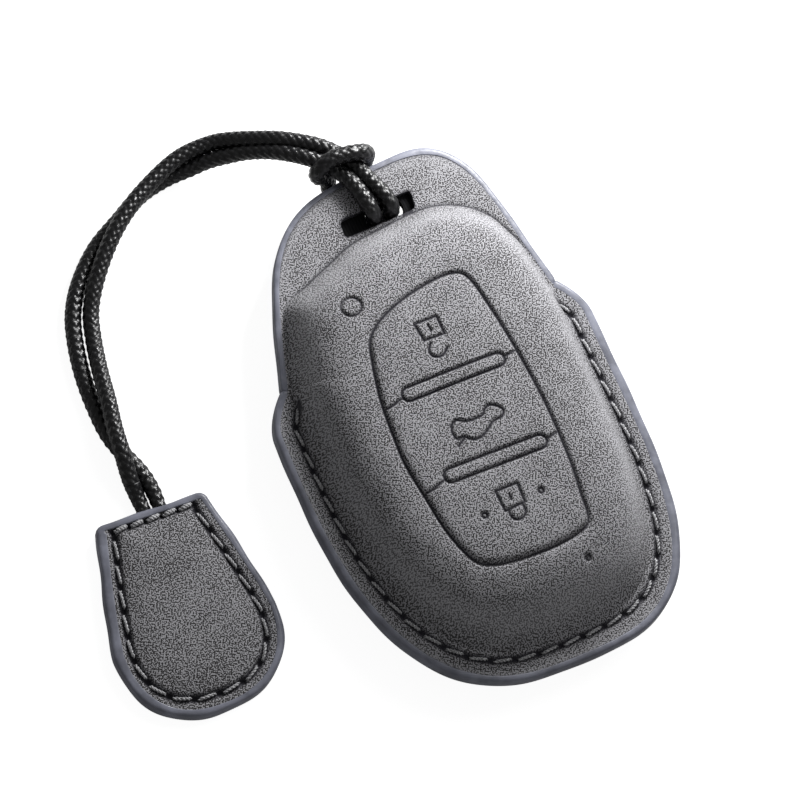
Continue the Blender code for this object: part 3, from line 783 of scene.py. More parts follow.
def connect(tree, shader, colour, roughness, normal, constants):
    """Links a shader's colour, roughness and normal, and sets its constant inputs."""
    for name, socket in (("Base Color", colour), ("Roughness", roughness), ("Normal", normal)):
        tree.links.new(socket, shader.inputs[name])
    for name, value in constants.items():
        shader.inputs[name].default_value = value


def suede_material(name, light, dark, shift=0.0):
    """Nubuck-look leather: fine dark worms in a pale nap, clouded, and darkened where pressed:
    burnish with painted shade.
    """
    material, tree, shader = new_material(name)
    worms = maze(tree, per_mm=3.9)
    grain = noise(tree, per_mm=6.0, roughness=0.6)
    cloud = noise(tree, per_mm=0.085, detail=3.0, roughness=0.6)
    patch = noise(tree, per_mm=0.32, roughness=0.55)
    clouding = math_node(tree, "ADD", math_node(tree, "MULTIPLY", cloud, 0.16),
                         math_node(tree, "MULTIPLY", patch, 0.17))
    level = math_node(tree, "ADD", worms, math_node(tree, "SUBTRACT", clouding, 0.165 + shift))
    share = remap(tree, level, 0.43, 0.55)
    colour = mix_colour(tree, share, dark, light)
    fine = from_noise(tree, grain, 0.86, 1.1)
    tint = add_node(tree, "ShaderNodeCombineColor", {"Red": fine, "Green": fine, "Blue": fine})
    colour = mix_colour(tree, 1.0, colour, tint.outputs[0], "MULTIPLY")
    # The pressed mark darkens the leather: burnish in the pressed lines, and painted shade in
    # lines, seam channels and holes, the crease, the slot and under the coat's lip
    burnish_and_shade = (0.5 * dark[0], 0.5 * dark[1], 0.65 * dark[2])
    colour = mix_colour(tree, attribute(tree, "pressed"), colour, burnish_and_shade)
    worn = math_node(tree, "MULTIPLY", attribute(tree, "worn"), 0.35)
    colour = mix_colour(tree, worn, colour, scaled(light, 1.25))
    broad = bump(tree, patch, 0.25 * MM, 0.35)
    nap = bump(tree, share, 0.05 * MM, 0.6, broad)
    connect(tree, shader, colour, from_noise(tree, grain, 0.72, 0.92),
            bump(tree, grain, 0.03 * MM, 0.5, nap),
            {"Specular IOR Level": 0.25, "Sheen Weight": 0.12, "Sheen Roughness": 0.45})
    return material


def coat_material(name, colour):
    """Satin edge paint, laid on by hand: slightly uneven in tone and surface."""
    material, tree, shader = new_material(name)
    uneven = noise(tree, per_mm=0.22, detail=3.0, roughness=0.55)
    fine = noise(tree, per_mm=2.2)
    tone = mix_colour(tree, from_noise(tree, uneven), scaled(colour, 0.72), scaled(colour, 1.25))
    wave = bump(tree, uneven, 0.5 * MM, 0.4)
    connect(tree, shader, tone, from_noise(tree, fine, 0.30, 0.42),
            bump(tree, fine, 0.04 * MM, 0.35, wave),
            {"Specular IOR Level": 0.4, "Coat Weight": 0.08, "Coat Roughness": 0.3})
    return material


def cord_material(name, colour):
    """Waxed black braid: glossy scales with painted glints on top, dull between them, with
    painted shade there.
    """
    material, tree, shader = new_material(name)
    height = attribute(tree, "scale_height")
    fibre = noise(tree, per_mm=5.0, roughness=0.6)
    wax = noise(tree, per_mm=0.5)
    # Painted shade between the scales, and painted pale glints on fibres at the tops of the
    # scales
    tone = mix_colour(tree, remap(tree, height, 0.2, 0.9), scaled(colour, 0.25), colour)
    painted_glint = math_node(tree, "MULTIPLY", remap(tree, fibre, 0.45, 0.7), height)
    tone = mix_colour(tree, painted_glint, tone, scaled(colour, 2.2))
    rough = math_node(tree, "SUBTRACT", from_noise(tree, wax, 0.50, 0.36),
                      math_node(tree, "MULTIPLY", height, 0.14))
    connect(tree, shader, tone, rough, bump(tree, fibre, 0.05 * MM, 0.7),
            {"Specular IOR Level": 0.55, "Coat Weight": 0.12, "Coat Roughness": 0.25})
    return material


def thread_material(name, colour):
    """Twisted thread with painted pale glints on its fibres."""
    material, tree, shader = new_material(name)
    fibre = noise(tree, per_mm=6.0, roughness=0.6)
    # Painted glints: pale flecks on the thread's fibres
    tone = mix_colour(tree, remap(tree, fibre, 0.42, 0.7), colour, scaled(colour, 3.5))
    connect(tree, shader, tone, from_noise(tree, fibre, 0.36, 0.6),
            bump(tree, fibre, 0.04 * MM, 0.7), {"Specular IOR Level": 0.7})
    return material


def knit_material(name, colour, per_mm):
    """A fine ribbed knit, or foam where the waves are few."""
    material, tree, shader = new_material(name)
    place = add_node(tree, "ShaderNodeTexCoord").outputs["Object"]
    ribs = add_node(tree, "ShaderNodeTexWave", {
        "Vector": place, "Scale": per_mm / MM, "Distortion": 1.2, "Detail": 1.0},
        wave_type="BANDS", bands_direction="X").outputs["Fac"]
    fuzz = noise(tree, per_mm=3.0, roughness=0.6)
    weave = math_node(tree, "MULTIPLY", ribs, fuzz)
    connect(tree, shader, mix_colour(tree, weave, colour, scaled(colour, 2.0)),
            from_noise(tree, fuzz, 0.8, 0.95), bump(tree, weave, 0.12 * MM, 0.8),
            {"Specular IOR Level": 0.1})
    return material


def finish(name):
    """One of the object's materials, made when it is first asked for."""
    looks = bpy.context.scene.key_pouch_finishes
    makers = {
        "grey suede": (suede_material, looks.suede_light, looks.suede_dark),
        "grey suede tag": (suede_material, looks.suede_light, looks.suede_dark, 0.03),
        "grey edge paint": (coat_material, looks.coat),
        "waxed black braid": (cord_material, looks.cord),
        "twisted dark thread": (thread_material, looks.thread),
        "black knit lining": (knit_material, looks.lining, 0.55),
        "grey foam": (knit_material, scaled(looks.lining, 5), 0.2),
    }
    maker, *values = makers[name]
    return bpy.data.materials.get(name) or maker(name, *values)


def height_at(reach, profile):
    """The moulded form's height as a share, at shares of the way from its middle to its foot."""
    line = smooth_line(profile, steps=10)[::-1]
    return np.interp(reach, np.maximum.accumulate(line[:, 0]), line[:, 1])


def shell_points(sizes, outline, ply, sunk):
    """One face of a cover on its true pattern: its middle, the form's rings and the rim's."""
    foot = dome_foot(outline, sizes) - ply.inset - sunk
    plain = dome_foot(outline, sizes, flared=False) - ply.inset - sunk
    reach = np.linalg.norm(outline, axis=1)
    direction = outline / reach[:, None]
    rings = [direction * (plain * share + (foot - plain) * share**FLARE_EXPONENT)[:, None]
             for share in ply.reaches]
    rings += [direction * (foot + (reach - foot) * share)[:, None] for share in ply.rims]
    flat = np.vstack([np.zeros((1, 2)), *rings])
    rises = np.concatenate([height_at(ply.reaches, ply.profile), np.zeros(len(ply.rims))])
    rises = np.concatenate([height_at([0.0], ply.profile), np.repeat(rises, len(outline))])
    return np.column_stack([flat, ply.level + ply.side * (ply.depth * rises - sunk)])


def add_cover(name, sizes, ply, look):
    """A moulded ply of the pouch: a closed shell with a form, a flat rim and a soft cut edge."""
    outline = even_loop(pouch_outline(sizes), ply.around)
    outer = shell_points(sizes, outline, ply, 0.0)
    inner = shell_points(sizes, outline, ply, ply.thickness)
    ease = min(EASE_SHARE * ply.thickness, EASE_MOST)
    outer[-ply.around:, 2] -= ply.side * ease
    inner[-ply.around:, 2] += ply.side * ease
    for face in (outer, inner):
        face[:, :2] = settle(face[:, :2])
    return shell_object(name, outer, inner, ply.around, look), len(outer)


def slot_line(sizes):
    """The slot's outline, a little turned and square at its ends, as the pouch lies."""
    radius = sizes.slot_width / 2
    half = sizes.slot_length / 2 - radius
    line = pill((-half, 0), (half, 0), radius, steps=14)
    past = np.column_stack([line[:, 0] - np.clip(line[:, 0], -half, half), line[:, 1]])
    squarer = ((np.abs(past) / radius) ** SLOT_EXPONENT).sum(axis=1) ** (-1 / SLOT_EXPONENT)
    line = line + past * (squarer - 1)[:, None]
    cos, sin = math.cos(SLOT_TURN), math.sin(SLOT_TURN)
    turned = line @ np.array([[cos, sin], [-sin, cos]])
    return settle(turned + (0, sizes.slot_rise))


def cut_slot(piece, line):
    """Punches an opening of this outline through a ply of the tab."""
    line = line[:-1]
    count = len(line)
    low = np.column_stack([line, np.full(count, BACK_BOTTOM - PUNCH_OVERRUN)])
    high = np.column_stack([line, np.full(count, FRONT_TOP + PUNCH_OVERRUN)])
    cutter = mesh_object("slot punch", np.vstack([low, high]), capped_rings(2, count),
                         piece.data.materials[0].name, smooth=False)
    cut = piece.modifiers.new("slot", "BOOLEAN")
    cut.object, cut.operation, cut.solver = cutter, "DIFFERENCE", "MANIFOLD"
    graph = bpy.context.evaluated_depsgraph_get()
    old = piece.data
    piece.data = bpy.data.meshes.new_from_object(piece.evaluated_get(graph))
    piece.modifiers.clear()
    bpy.data.meshes.remove(old)
    bpy.data.objects.remove(cutter)


def panel_lines():
    """All lines pressed into the front, in millimetres: (lines, half width, depth, darkness)."""
    panel = smooth_line(PANEL, steps=6, is_loop=True)
    bars = [pill(start, end, BAR_HALF_WIDTH, steps=5) for start, end in BARS]
    joins = [smooth_line(join, steps=5) for join in BAR_JOINS]
    marks = [OPEN_LOCK, LOCK]
    marks += [smooth_line(mark, steps=4) for mark in (CAR, BOOT_LID, OPEN_SHACKLE, SHACKLE)]
    studs = [circle(x, y, radius, steps=14) for x, y, radius in STUDS]
    return (
        ([panel], 0.62, 0.48, 1.0), (bars, 0.54, 0.40, 1.0), (joins, 0.46, 0.32, 0.95),
        (marks, 0.48, 0.32, 1.0), ([OPEN_LOCK_KEY, LOCK_KEY], 0.34, 0.26, 1.0),
        ([circle(*LAMP_RING)], 0.50, 0.36, 0.9), (studs, 0.50, 0.36, 1.0),
    )


def pressed_form(flat):
    """How deep the front is pressed at these points, and how dark it is there, by burnish and
    painted shade.
    """
    points = flat / MM
    depth, dark = np.zeros(len(points)), np.zeros(len(points))
    panel = smooth_line(PANEL, steps=6, is_loop=True)
    near = np.nonzero((np.abs(points[:, 0]) < MARKS_HALF_WIDTH) & (points[:, 1] > MARKS_LOW)
                      & (points[:, 1] < MARKS_HIGH))[0]
    local = points[near]
    to_panel = distance_to(local, [panel])
    within = inside(local, panel)
    depth[near] += PANEL_SINK * soft_line(
        to_panel, np.where(within, PANEL_SINK_INSIDE, PANEL_SINK_OUTSIDE))
    to_bar = distance_to(local, BARS)
    swell = np.minimum(np.clip(to_panel / BUTTON_SWELL_EDGE, 0, 1),
                       np.clip((to_bar - BAR_HALF_WIDTH) / BUTTON_SWELL_BAR, 0, 1))
    depth[near] -= np.where(within & (to_bar > BAR_HALF_WIDTH),
                            BUTTON_SWELL * np.sin(swell * math.pi / 2), 0)
    round_top = np.sqrt(np.clip(1 - (to_bar / BAR_HALF_WIDTH) ** 2, 0, 1))
    depth[near] -= np.where(to_bar < BAR_HALF_WIDTH, BAR_SWELL * round_top, 0)
    # Each line is darkened by its core and halo: burnish in the pressed line, and painted shade
    # in it and beside it
    lines, stain_and_shade = np.zeros(len(local)), np.zeros(len(local))
    for group, half_width, deep, darkness in panel_lines():
        gap = distance_to(local, group)
        lines = np.maximum(lines, deep * soft_line(gap, half_width))
        width = STAIN_SHADE_CORE_WIDTH + STAIN_SHADE_CORE_GROWTH * half_width
        core = np.minimum(1, STAIN_SHADE_CORE * soft_line(gap, width))
        halo = STAIN_SHADE_HALO * soft_line(gap, half_width * STAIN_SHADE_HALO_SHARE)
        stain_and_shade = np.maximum(stain_and_shade, darkness * np.maximum(core, halo))
    depth[near] += lines
    dark[near] = stain_and_shade
    return depth * MM, dark


def hole_places(line, pitch):
    """Stitch holes spread evenly along a seam."""
    total = run_lengths(line)[-1]
    return np.linspace(0, total, max(2, round(total / pitch)) + 1)


def rim_row(sizes, seams, level):
    """The rim's seam, from one waist round the bottom to the other, and where its holes lie."""
    outline = even_loop(pouch_outline(sizes), SEAM_POINTS)
    line = outline - outward(outline) * seams.rim_inset
    below = outline[:, 1] < sizes.waist_rise - RIM_SEAM_DROP
    order = np.argsort(np.arctan2(line[:, 0], -line[:, 1]))
    flat = settle(line[order][below[order]])
    line = np.column_stack([flat, np.full(len(flat), level)])
    return line, hole_places(line, seams.pitch)


def crease_foot(piece, sizes, outer):
    """Presses the sharp line at the form's foot across the tab, and returns the painted shade
    along it.
    """
    outline = even_loop(pouch_outline(sizes), CREASE_POINTS)
    foot = outline / np.linalg.norm(outline, axis=1)[:, None] * dome_foot(outline, sizes)[:, None]
    line = settle(foot[outline[:, 1] > sizes.waist_rise])
    points = point_array(piece)
    near = np.nonzero((points[:outer, 1] > CREASE_BOTTOM - CREASE_FADE)
                      & (points[:outer, 2] < (FRONT_LEVEL + FRONT_TOP) / 2))[0]
    fade = np.clip((points[near, 1] - CREASE_BOTTOM) / CREASE_FADE, 0, 1)
    fade *= np.clip((points[near, 0] - CREASE_LEFT) / CREASE_LEFT_FADE, 0, 1)
    gap = distance_to(points[near, :2], [line])
    points[near, 2] -= CREASE_DEPTH * fade * soft_line(gap, CREASE_HALF_WIDTH)
    set_points(piece, points)
    dark = np.zeros(len(points))
    # Painted shade along the crease
    dark[near] = fade * sum(share * soft_line(gap, width) for share, width in CREASE_SHADES)
    return dark


def sink_seam(piece, line, holes, groove, side, limit=SEAM_LIMIT):
    """Presses a seam's channel and holes into a piece, and returns how dark each point is:
    painted shade.
    """
    points = point_array(piece)
    dark = np.zeros(len(points))
    low, high = line.min(axis=0)[:2] - SEAM_MARGIN, line.max(axis=0)[:2] + SEAM_MARGIN
    near = ((points[:, :2] > low) & (points[:, :2] < high)).all(axis=1)
    near &= np.abs(points[:, 2] - line[:, 2].mean()) < limit
    near = np.nonzero(near)[0]
    gap = distance_to(points[near, :2], [line[:, :2]])
    hole = np.full(len(near), FAR)
    for spot in points_at(line, holes):
        away = points[near, :2] - spot[:2]
        hole = np.minimum(hole, np.hypot(away[:, 0], away[:, 1]))
    channel = soft_line(gap, CHANNEL_HALF_WIDTH)
    pit = soft_line(hole, PIT_RADIUS)
    points[near, 2] -= side * (groove * channel + PIT_SHARE * groove * pit)
    # Painted shade in the seam's channel and in its holes
    dark[near] = np.maximum(np.minimum(CHANNEL_SHADE_MOST, CHANNEL_SHADE * channel),
                            np.minimum(1, PIT_SHADE * soft_line(hole, PIT_SHADE_RADIUS)))
    set_points(piece, points)
    return dark


def frames_along(points):
    """Two cross directions along a line, without needless twist."""
    tangents = np.gradient(points, axis=0)
    tangents /= np.linalg.norm(tangents, axis=1)[:, None]
    first = np.cross(tangents[0], (0.0, 0.0, 1.0))
    if np.linalg.norm(first) < NEARLY_UPRIGHT:
        first = np.cross(tangents[0], (1.0, 0.0, 0.0))
    across = np.empty_like(points)
    across[0] = first / np.linalg.norm(first)
    for index in range(1, len(points)):
        kept = across[index - 1] - tangents[index] * (across[index - 1] @ tangents[index])
        across[index] = kept / np.linalg.norm(kept)
    return across, np.cross(tangents, across)


def rings_round(points, across, up, radius):
    """Rings of points round a line. The radius has a row for each point of the line."""
    sides = radius.shape[1]
    angle = (np.arange(sides) * 2 * math.pi / sides)[None, :, None]
    ring = np.cos(angle) * across[:, None] + np.sin(angle) * up[:, None]
    return points[:, None] + ring * radius[:, :, None]


def add_stitches(name, line, holes, side, thread, lift):
    """A row of hand stitches: two twisted plies that rise from one hole and dive in the next."""
    rng = np.random.default_rng(STITCH_SEED)
    t = np.linspace(0, 1, STITCH_STEPS)
    swing = thread * PLY_SWING
    thick = thread * PLY_RADIUS * (1 - PLY_THINNING * np.abs(2 * t - 1) ** PLY_EXPONENT)
    rise = np.sin(math.pi * t)
    arch = lift * rise**RISE_EXPONENT - STITCH_DIVE * thread * (1 - rise**DIVE_EXPONENT)
    made, faces = [], []
    for start, end in zip(holes[:-1], holes[1:]):
        core = points_at(line, start + (end - start) * (STITCH_START + STITCH_SHARE * t))
        run = core[-1] - core[0]
        run /= np.linalg.norm(run)
        beside = np.array((-run[1], run[0], 0.0))
        wobble = rng.normal(0, STITCH_UNEVENNESS, 3)
        core += beside * ((t - 0.5) * STITCH_SLANT + wobble[0])[:, None] * MM
        core[:, 2] += side * arch
        across, up = frames_along(core)
        turns = (STITCH_TURNS + wobble[1]) * 2 * math.pi * t + wobble[2] * STITCH_ROLL
        for ply in (0.0, math.pi):
            path = core + across * (np.cos(turns + ply) * swing)[:, None] \
                + up * (np.sin(turns + ply) * swing)[:, None]
            faces += capped_rings(len(t), PLY_SIDES, first=len(made) * len(t) * PLY_SIDES)
            rings = rings_round(path, *frames_along(path), np.tile(thick[:, None], PLY_SIDES))
            made.append(rings.reshape(-1, 3))
    return mesh_object(name, np.vstack(made), faces, "twisted dark thread")


def coat_section(out, top, bottom, over):
    """The painted edge's cross section: how far out of the cut edge, and how high."""
    middle, half = (top + bottom) / 2, (top - bottom) / 2
    upper = [(-share * over, rise) for share, rise in LIP_SHAPE]
    upper += [(share * out / MM, rise) for share, rise in COAT_SHAPE]
    points = [(x * MM, middle + half * rise) for x, rise in upper]
    points += [(x * MM, middle - half * rise) for x, rise in upper[::-1]]
    return smooth_line(np.array(points), steps=3)


def add_coat(name, edge, offsets, section, place, is_loop=False, waves=1.0, lips=None):
    """Edge paint swept along a cut edge. The ends of an open one are rounded off."""
    around, count = len(section), len(edge)
    lengths = run_lengths(edge)
    total = lengths[-1]
    if is_loop:
        along = lengths / (total + np.linalg.norm(edge[0] - edge[-1])) * 2 * math.pi
        taper = np.ones(count)
        quick, slow = LOOP_WAVES
    else:
        along = lengths / MM
        from_end = np.clip(np.minimum(lengths, total - lengths) / COAT_END, 0, 1)
        taper = np.sqrt(np.clip(1 - (1 - from_end) ** 2, COAT_END_LEAST, 1))
        quick, slow = OPEN_WAVES
    wave = np.sin(quick * along + COAT_WAVE_START) + COAT_SLOW_SHARE * np.sin(slow * along)
    wave = waves * COAT_WAVE * wave
    lips = np.ones(count) if lips is None else lips
    height = COAT_END_SHARE + (1 - COAT_END_SHARE) * taper
    middle = (section[:, 1].max() + section[:, 1].min()) / 2
    points = np.empty((count, around, 3))
    for index in range(count):
        out = section[:, 0] * taper[index]
        out = out * np.where(section[:, 0] < 0, lips[index], 1 + wave[index])
        points[index, :, :2] = place(edge[index] + offsets[index] * out[:, None])
        points[index, :, 2] = middle + (section[:, 1] - middle) * height[index]
    faces = ring_faces(count, around, is_tube=True) if is_loop else capped_rings(count, around)
    return mesh_object(name, points.reshape(-1, 3), faces, "grey edge paint")


def mark(piece, pressed, worn=None):
    """Tells a suede piece's points how dark they are pressed, by burnish and painted shade, and
    how pale they are worn.
    """
    add_attribute(piece, "pressed", pressed)
    add_attribute(piece, "worn", np.zeros(len(pressed)) if worn is None else worn)


def open_slot(piece, sizes):
    """Punches the cord's slot through a cover, and darkens its walls and their rim with painted
    shade.
    """
    cut_slot(piece, slot_line(sizes))
    layer = piece.data.attributes["pressed"]
    dark = np.empty(len(layer.data), np.float32)
    layer.data.foreach_get("value", dark)
    gap = distance_to(point_array(piece)[:, :2], [slot_line(sizes)])
    # Painted shade: the slot's walls fully dark, and a soft dark band round the slot
    stain_and_shade = np.where(gap < SLOT_WALL, 1.0, SLOT_SHADE * soft_line(gap, SLOT_SHADE_WIDTH))
    dark = np.maximum(dark, stain_and_shade)
    layer.data.foreach_set("value", dark.astype(np.float32))


def press_front(piece, ply, outer):
    """Presses the marks into the front, a little unevenly, and returns how dark each point is."""
    points = point_array(piece)
    share = np.clip((points[:, 2] - ply.level) / ply.depth, 0, 1)
    points[:, 2] += soft_wave(points[:, 0], points[:, 1]) * share
    depth, pressed = pressed_form(points[:outer, :2])
    points[:outer, 2] -= depth
    set_points(piece, points)
    return np.concatenate([pressed, np.zeros(len(points) - outer)])


def add_suede(name, node, sizes, seams, ply, wear):
    """A cover with its sewn rim, its slot and its worn form. The front has its marks as well."""
    piece, outer = add_cover(name, sizes, ply, "grey suede")
    pressed = press_front(piece, ply, outer) if ply.side > 0 else 0
    dark = sink_seam(piece, *rim_row(sizes, seams, ply.level), seams.groove, ply.side)
    dark = np.maximum(dark, pressed)
    rings = np.concatenate([ply.reaches, 1 + ply.rims])
    amount, middle, width = wear
    pale = amount * np.exp(-((rings - middle) / width) ** 2)
    if ply.side > 0:
        dark = np.maximum(dark, crease_foot(piece, sizes, outer))
        # Painted shade along the front's cut edge, where the coat's lip lies on the leather
        stain_and_shade = np.repeat(EDGE_SHADE * (rings > EDGE_SHADE_FROM), ply.around)
        dark[1:outer] = np.maximum(dark[1:outer], stain_and_shade)
        pale += EDGE_WEAR * (rings > EDGE_WEAR_FROM)
    worn = np.zeros(len(dark))
    worn[1:outer] = np.repeat(pale, ply.around)
    mark(piece, dark, worn)
    open_slot(piece, sizes)
    ride(piece, "pouch", "suede", node)


class KEYPOUCH_OT_covers(bpy.types.Operator):
    """Make the moulded covers with their pressed marks, and the linings inside them"""

    bl_idname = "key_pouch.covers"
    bl_label = "Covers and linings"

    def execute(self, context):
        sizes, seams = context.scene.key_pouch_sizes, context.scene.key_pouch_seams
        front = Ply(1, FRONT_LEVEL, FRONT_TOP - FRONT_LEVEL, FRONT_PROFILE, 0.0, sizes.skin,
                    sizes.stations, FINE_RINGS, RIM_RINGS)
        back = Ply(-1, BACK_LEVEL, BACK_LEVEL - BACK_BOTTOM, BACK_PROFILE, 0.0, sizes.skin,
                   BACK_POINTS, PLAIN_RINGS, RIM_RINGS)
        add_suede("front_cover_suede", "front_cover", sizes, seams, front, FRONT_WEAR)
        add_suede("back_cover_suede", "back_cover", sizes, seams, back, BACK_WEAR)
        inset = sizes.skin + sizes.ply_gap
        for side_name, ply in (("front", front), ("back", back)):
            inner = ply._replace(level=ply.level - ply.side * inset, inset=inset,
                                 thickness=sizes.lining, around=LINING_POINTS,
                                 reaches=PLAIN_RINGS[::2], rims=RIM_RINGS[1::4])
            lining, _ = add_cover(f"{side_name}_lining_knit", sizes, inner, "black knit lining")
            cut_slot(lining, pill(*LINING_SLIT, LINING_SLIT_RADIUS))
            ride(lining, "pouch", "lining", f"{side_name}_lining")
        return {"FINISHED"}


class KEYPOUCH_OT_edges(bpy.types.Operator):
    """Paint the cut edges: one coat round the sewn rim, and one on each half of the open tab"""

    bl_idname = "key_pouch.edges"
    bl_label = "Edge coats"

    def execute(self, context):
        sizes = context.scene.key_pouch_sizes
        outline = even_loop(pouch_outline(sizes), COAT_POINTS)
        offsets = outward(outline)
        first, last = np.nonzero(outline[:, 1] > sizes.waist_rise)[0][[0, -1]]

        rim = np.arange(last + 1 - COAT_OVERLAP, first + COAT_POINTS + COAT_OVERLAP) % COAT_POINTS
        section = coat_section(sizes.coat_reach, FRONT_LEVEL, BACK_LEVEL, RIM_LIP)
        coat = add_coat("rim_edge_paint", outline[rim], offsets[rim], section, settle,
                        lips=1 + RIM_LIP_GROWTH * np.clip(offsets[rim][:, 0], 0, 1) ** 2)
        ride(coat, "pouch", "edge_coat", "rim_edge_coat")

        tab = np.arange(first - COAT_OVERLAP, last + 1 + COAT_OVERLAP)
        half = sizes.skin + sizes.ply_gap + sizes.lining
        for side_name, top, bottom in (
            ("front", FRONT_LEVEL, FRONT_LEVEL - half), ("back", BACK_LEVEL + half, BACK_LEVEL),
        ):
            section = coat_section(TAB_COAT_SHARE * sizes.coat_reach, top, bottom, TAB_LIP)
            coat = add_coat(f"{side_name}_tab_edge_paint", outline[tab], offsets[tab], section,
                            settle)
            ride(coat, "pouch", "edge_coat", f"{side_name}_tab_edge_coat")
        return {"FINISHED"}


class KEYPOUCH_OT_seams(bpy.types.Operator):
    """Sew the rim, front and back, with twisted waxed thread"""

    bl_idname = "key_pouch.seams"
    bl_label = "Rim seams"

    def execute(self, context):
        sizes, seams = context.scene.key_pouch_sizes, context.scene.key_pouch_seams
        for side_name, side, level in (("front", 1, FRONT_LEVEL), ("back", -1, BACK_LEVEL)):
            thread = add_stitches(f"{side_name}_rim_thread", *rim_row(sizes, seams, level), side,
                                  seams.thread, RIM_STITCH_LIFT)
            ride(thread, "pouch", "cord")
        return {"FINISHED"}


def braid_object(name, centre, places, spans, sizes):
    """Stretches of braid between two places each: over-and-under scales in real relief."""
    across, up = frames_along(centre)
    turn = sizes.carriers * np.arange(CORD_SIDES)[None, :] / CORD_SIDES
    from_end = np.minimum(places, places[-1] - places)
    proud = BRAID_PROUD * np.clip((from_end - CORD_TUCK) / CORD_END, 0, 1)
    made, scales, faces, count = [], [], [], 0
    for first, last in spans:
        part = slice(first, last + 1)
        along = places[part, None] / sizes.braid_pitch
        u, v = turn + along, turn - along
        over = (np.floor(u) + np.floor(v)) % 2 < 1
        cross = np.where(over, u, v) % 1 - 0.5
        length = np.where(over, v, u) % 1 - 0.5
        height = np.cos(math.pi * cross) ** SCALE_ROUND * (
            SCALE_ENDS + SCALE_SWELL * np.cos(math.pi * length))
        radius = sizes.diameter / 2 + proud[part, None] + sizes.relief * (height - 1)
        points = rings_round(centre[part], across[part], up[part], radius)
        points[..., 2] = np.maximum(points[..., 2], 0)
        faces += capped_rings(len(points), CORD_SIDES, first=count)
        made.append(points.reshape(-1, 3))
        scales.append(height.ravel())
        count += len(made[-1])
    piece = mesh_object(name, np.vstack(made), faces, "waxed black braid")
    add_attribute(piece, "scale_height", np.concatenate(scales))
    return piece


class KEYPOUCH_OT_cord(bpy.types.Operator):
    """Lay the braided cord: knotted through the slot, and both ends down into the tag"""

    bl_idname = "key_pouch.cord"
    bl_label = "Cord"

    def execute(self, context):
        sizes = context.scene.key_pouch_cord
        line = smooth_line(CORD_ROUTE, steps=14)
        total = run_lengths(line)[-1]
        line = np.vstack([beyond(line[0], line[CORD_LEAD], CORD_TUCK), line,
                          beyond(line[-1], line[-1 - CORD_LEAD], CORD_TUCK)])
        whole = total + 2 * CORD_TUCK
        places = np.linspace(0, whole, round(whole / CORD_STEP))
        centre = points_at(line, places)
        first = int(np.searchsorted(places, CORD_TUCK + CORD_END))
        end = len(places) - 1
        last = end - first
        cord = braid_object("braided_cord", centre, places, [(first, last)], sizes)
        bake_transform(cord)
        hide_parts("cord_knot", "cord_left_strand", "cord_right_strand")
        tails = braid_object("cord_ends_at_tag", centre, places, [(0, first), (last, end)], sizes)
        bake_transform(tails)
        return {"FINISHED"}


def place_tag(flat, setback):
    """Points on the tag's own pattern, put where the tag lies."""
    cos, sin = math.cos(TAG_TURN), math.sin(TAG_TURN)
    x, y = flat[..., 0], flat[..., 1] - setback
    return np.stack([cos * x - sin * y + MOUTH[0], sin * x + cos * y + MOUTH[1]], axis=-1)


def tag_seam(tag, seams):
    """The tag's seam on its pattern: down one side, round the end and up the other."""
    outline = even_loop(tag_outline(tag), TAG_SEAM_POINTS)
    line = outline - outward(outline) * seams.tag_inset
    keep = outline[:, 1] < -TAG_SEAM_TOP
    start = int(np.nonzero(keep & ~np.roll(keep, 1))[0][0])
    order = (start + np.arange(int(keep.sum()))) % len(outline)
    return line[order]


def tag_pattern(tag, seams):
    """The tag on its own pattern: its edge, its rings of points, its crown and its two rows."""
    outline = even_loop(tag_outline(tag), TAG_POINTS)
    middle = np.array((0.0, -0.5 * tag.length))
    seam = tag_seam(tag, seams)
    mouth = np.array([(seam[0, 0], -MOUTH_SEAM_DROP), (seam[-1, 0], -MOUTH_SEAM_DROP)])
    field = np.vstack([seam, mouth[::-1]])
    flat = np.vstack([middle[None], *[middle + (outline - middle) * s for s in TAG_RINGS]])
    gap = distance_to(flat, [np.vstack([field, field[:1]])])
    rise = 1 - (1 - np.clip(gap / CROWN_SLOPE, 0, 1)) ** CROWN_EXPONENT
    rows = (Row("side", seam, seams.pitch, 1.0),
            Row("mouth", mouth, MOUTH_PITCH_SHARE * seams.pitch, MOUTH_THREAD_SHARE))
    return TagPattern(outline, flat, tag.crown * rise * inside(flat, field), rows)


def row_along(row, level, setback):
    """A row's line where the tag lies, and the places of its holes."""
    line = np.column_stack([place_tag(row.line, setback), np.full(len(row.line), level)])
    return line, hole_places(line, row.pitch)


def add_tag_leather(name, pattern, swell, side, level, groove, setback):
    """One leather of the tag, with its edge eased and both rows of stitches pressed in."""
    half = len(pattern.flat)
    ease = np.zeros(half)
    ease[-TAG_POINTS:] = TAG_EDGE_EASE
    flat = place_tag(pattern.flat, setback)
    outer = np.column_stack([flat, level + side * (swell - ease)])
    inner = np.column_stack([
        flat, level - side * (TAG_SKIN - ease) + side * TAG_INNER_SWELL * swell])
    piece = shell_object(name, outer, inner, TAG_POINTS, "grey suede tag")
    dark = np.zeros(2 * half)
    for row in pattern.rows:
        pressed = sink_seam(piece, *row_along(row, level, setback), groove, side,
                            TAG_SEAM_LIMIT * TAG_SKIN)
        dark = np.maximum(dark, pressed)
    dark[half:] = 0
    mark(piece, dark)
    return piece


def add_tag_foam(pattern, setback):
    """The thin pad between the leathers, with a rolled edge."""
    middle = pattern.flat[0]
    pad = place_tag(middle + (pattern.flat - middle) * FOAM_SHARE, setback)
    level = TAG_SKIN + FOAM_GAP
    roll = np.zeros(len(pad))
    roll[-TAG_POINTS:] = FOAM_ROLL
    low = np.column_stack([pad, level + roll])
    high = np.column_stack([pad, TAG_TOP - level + FOAM_SWELL * pattern.crown - roll])
    return shell_object("tag_foam", low, high, TAG_POINTS, "grey foam")


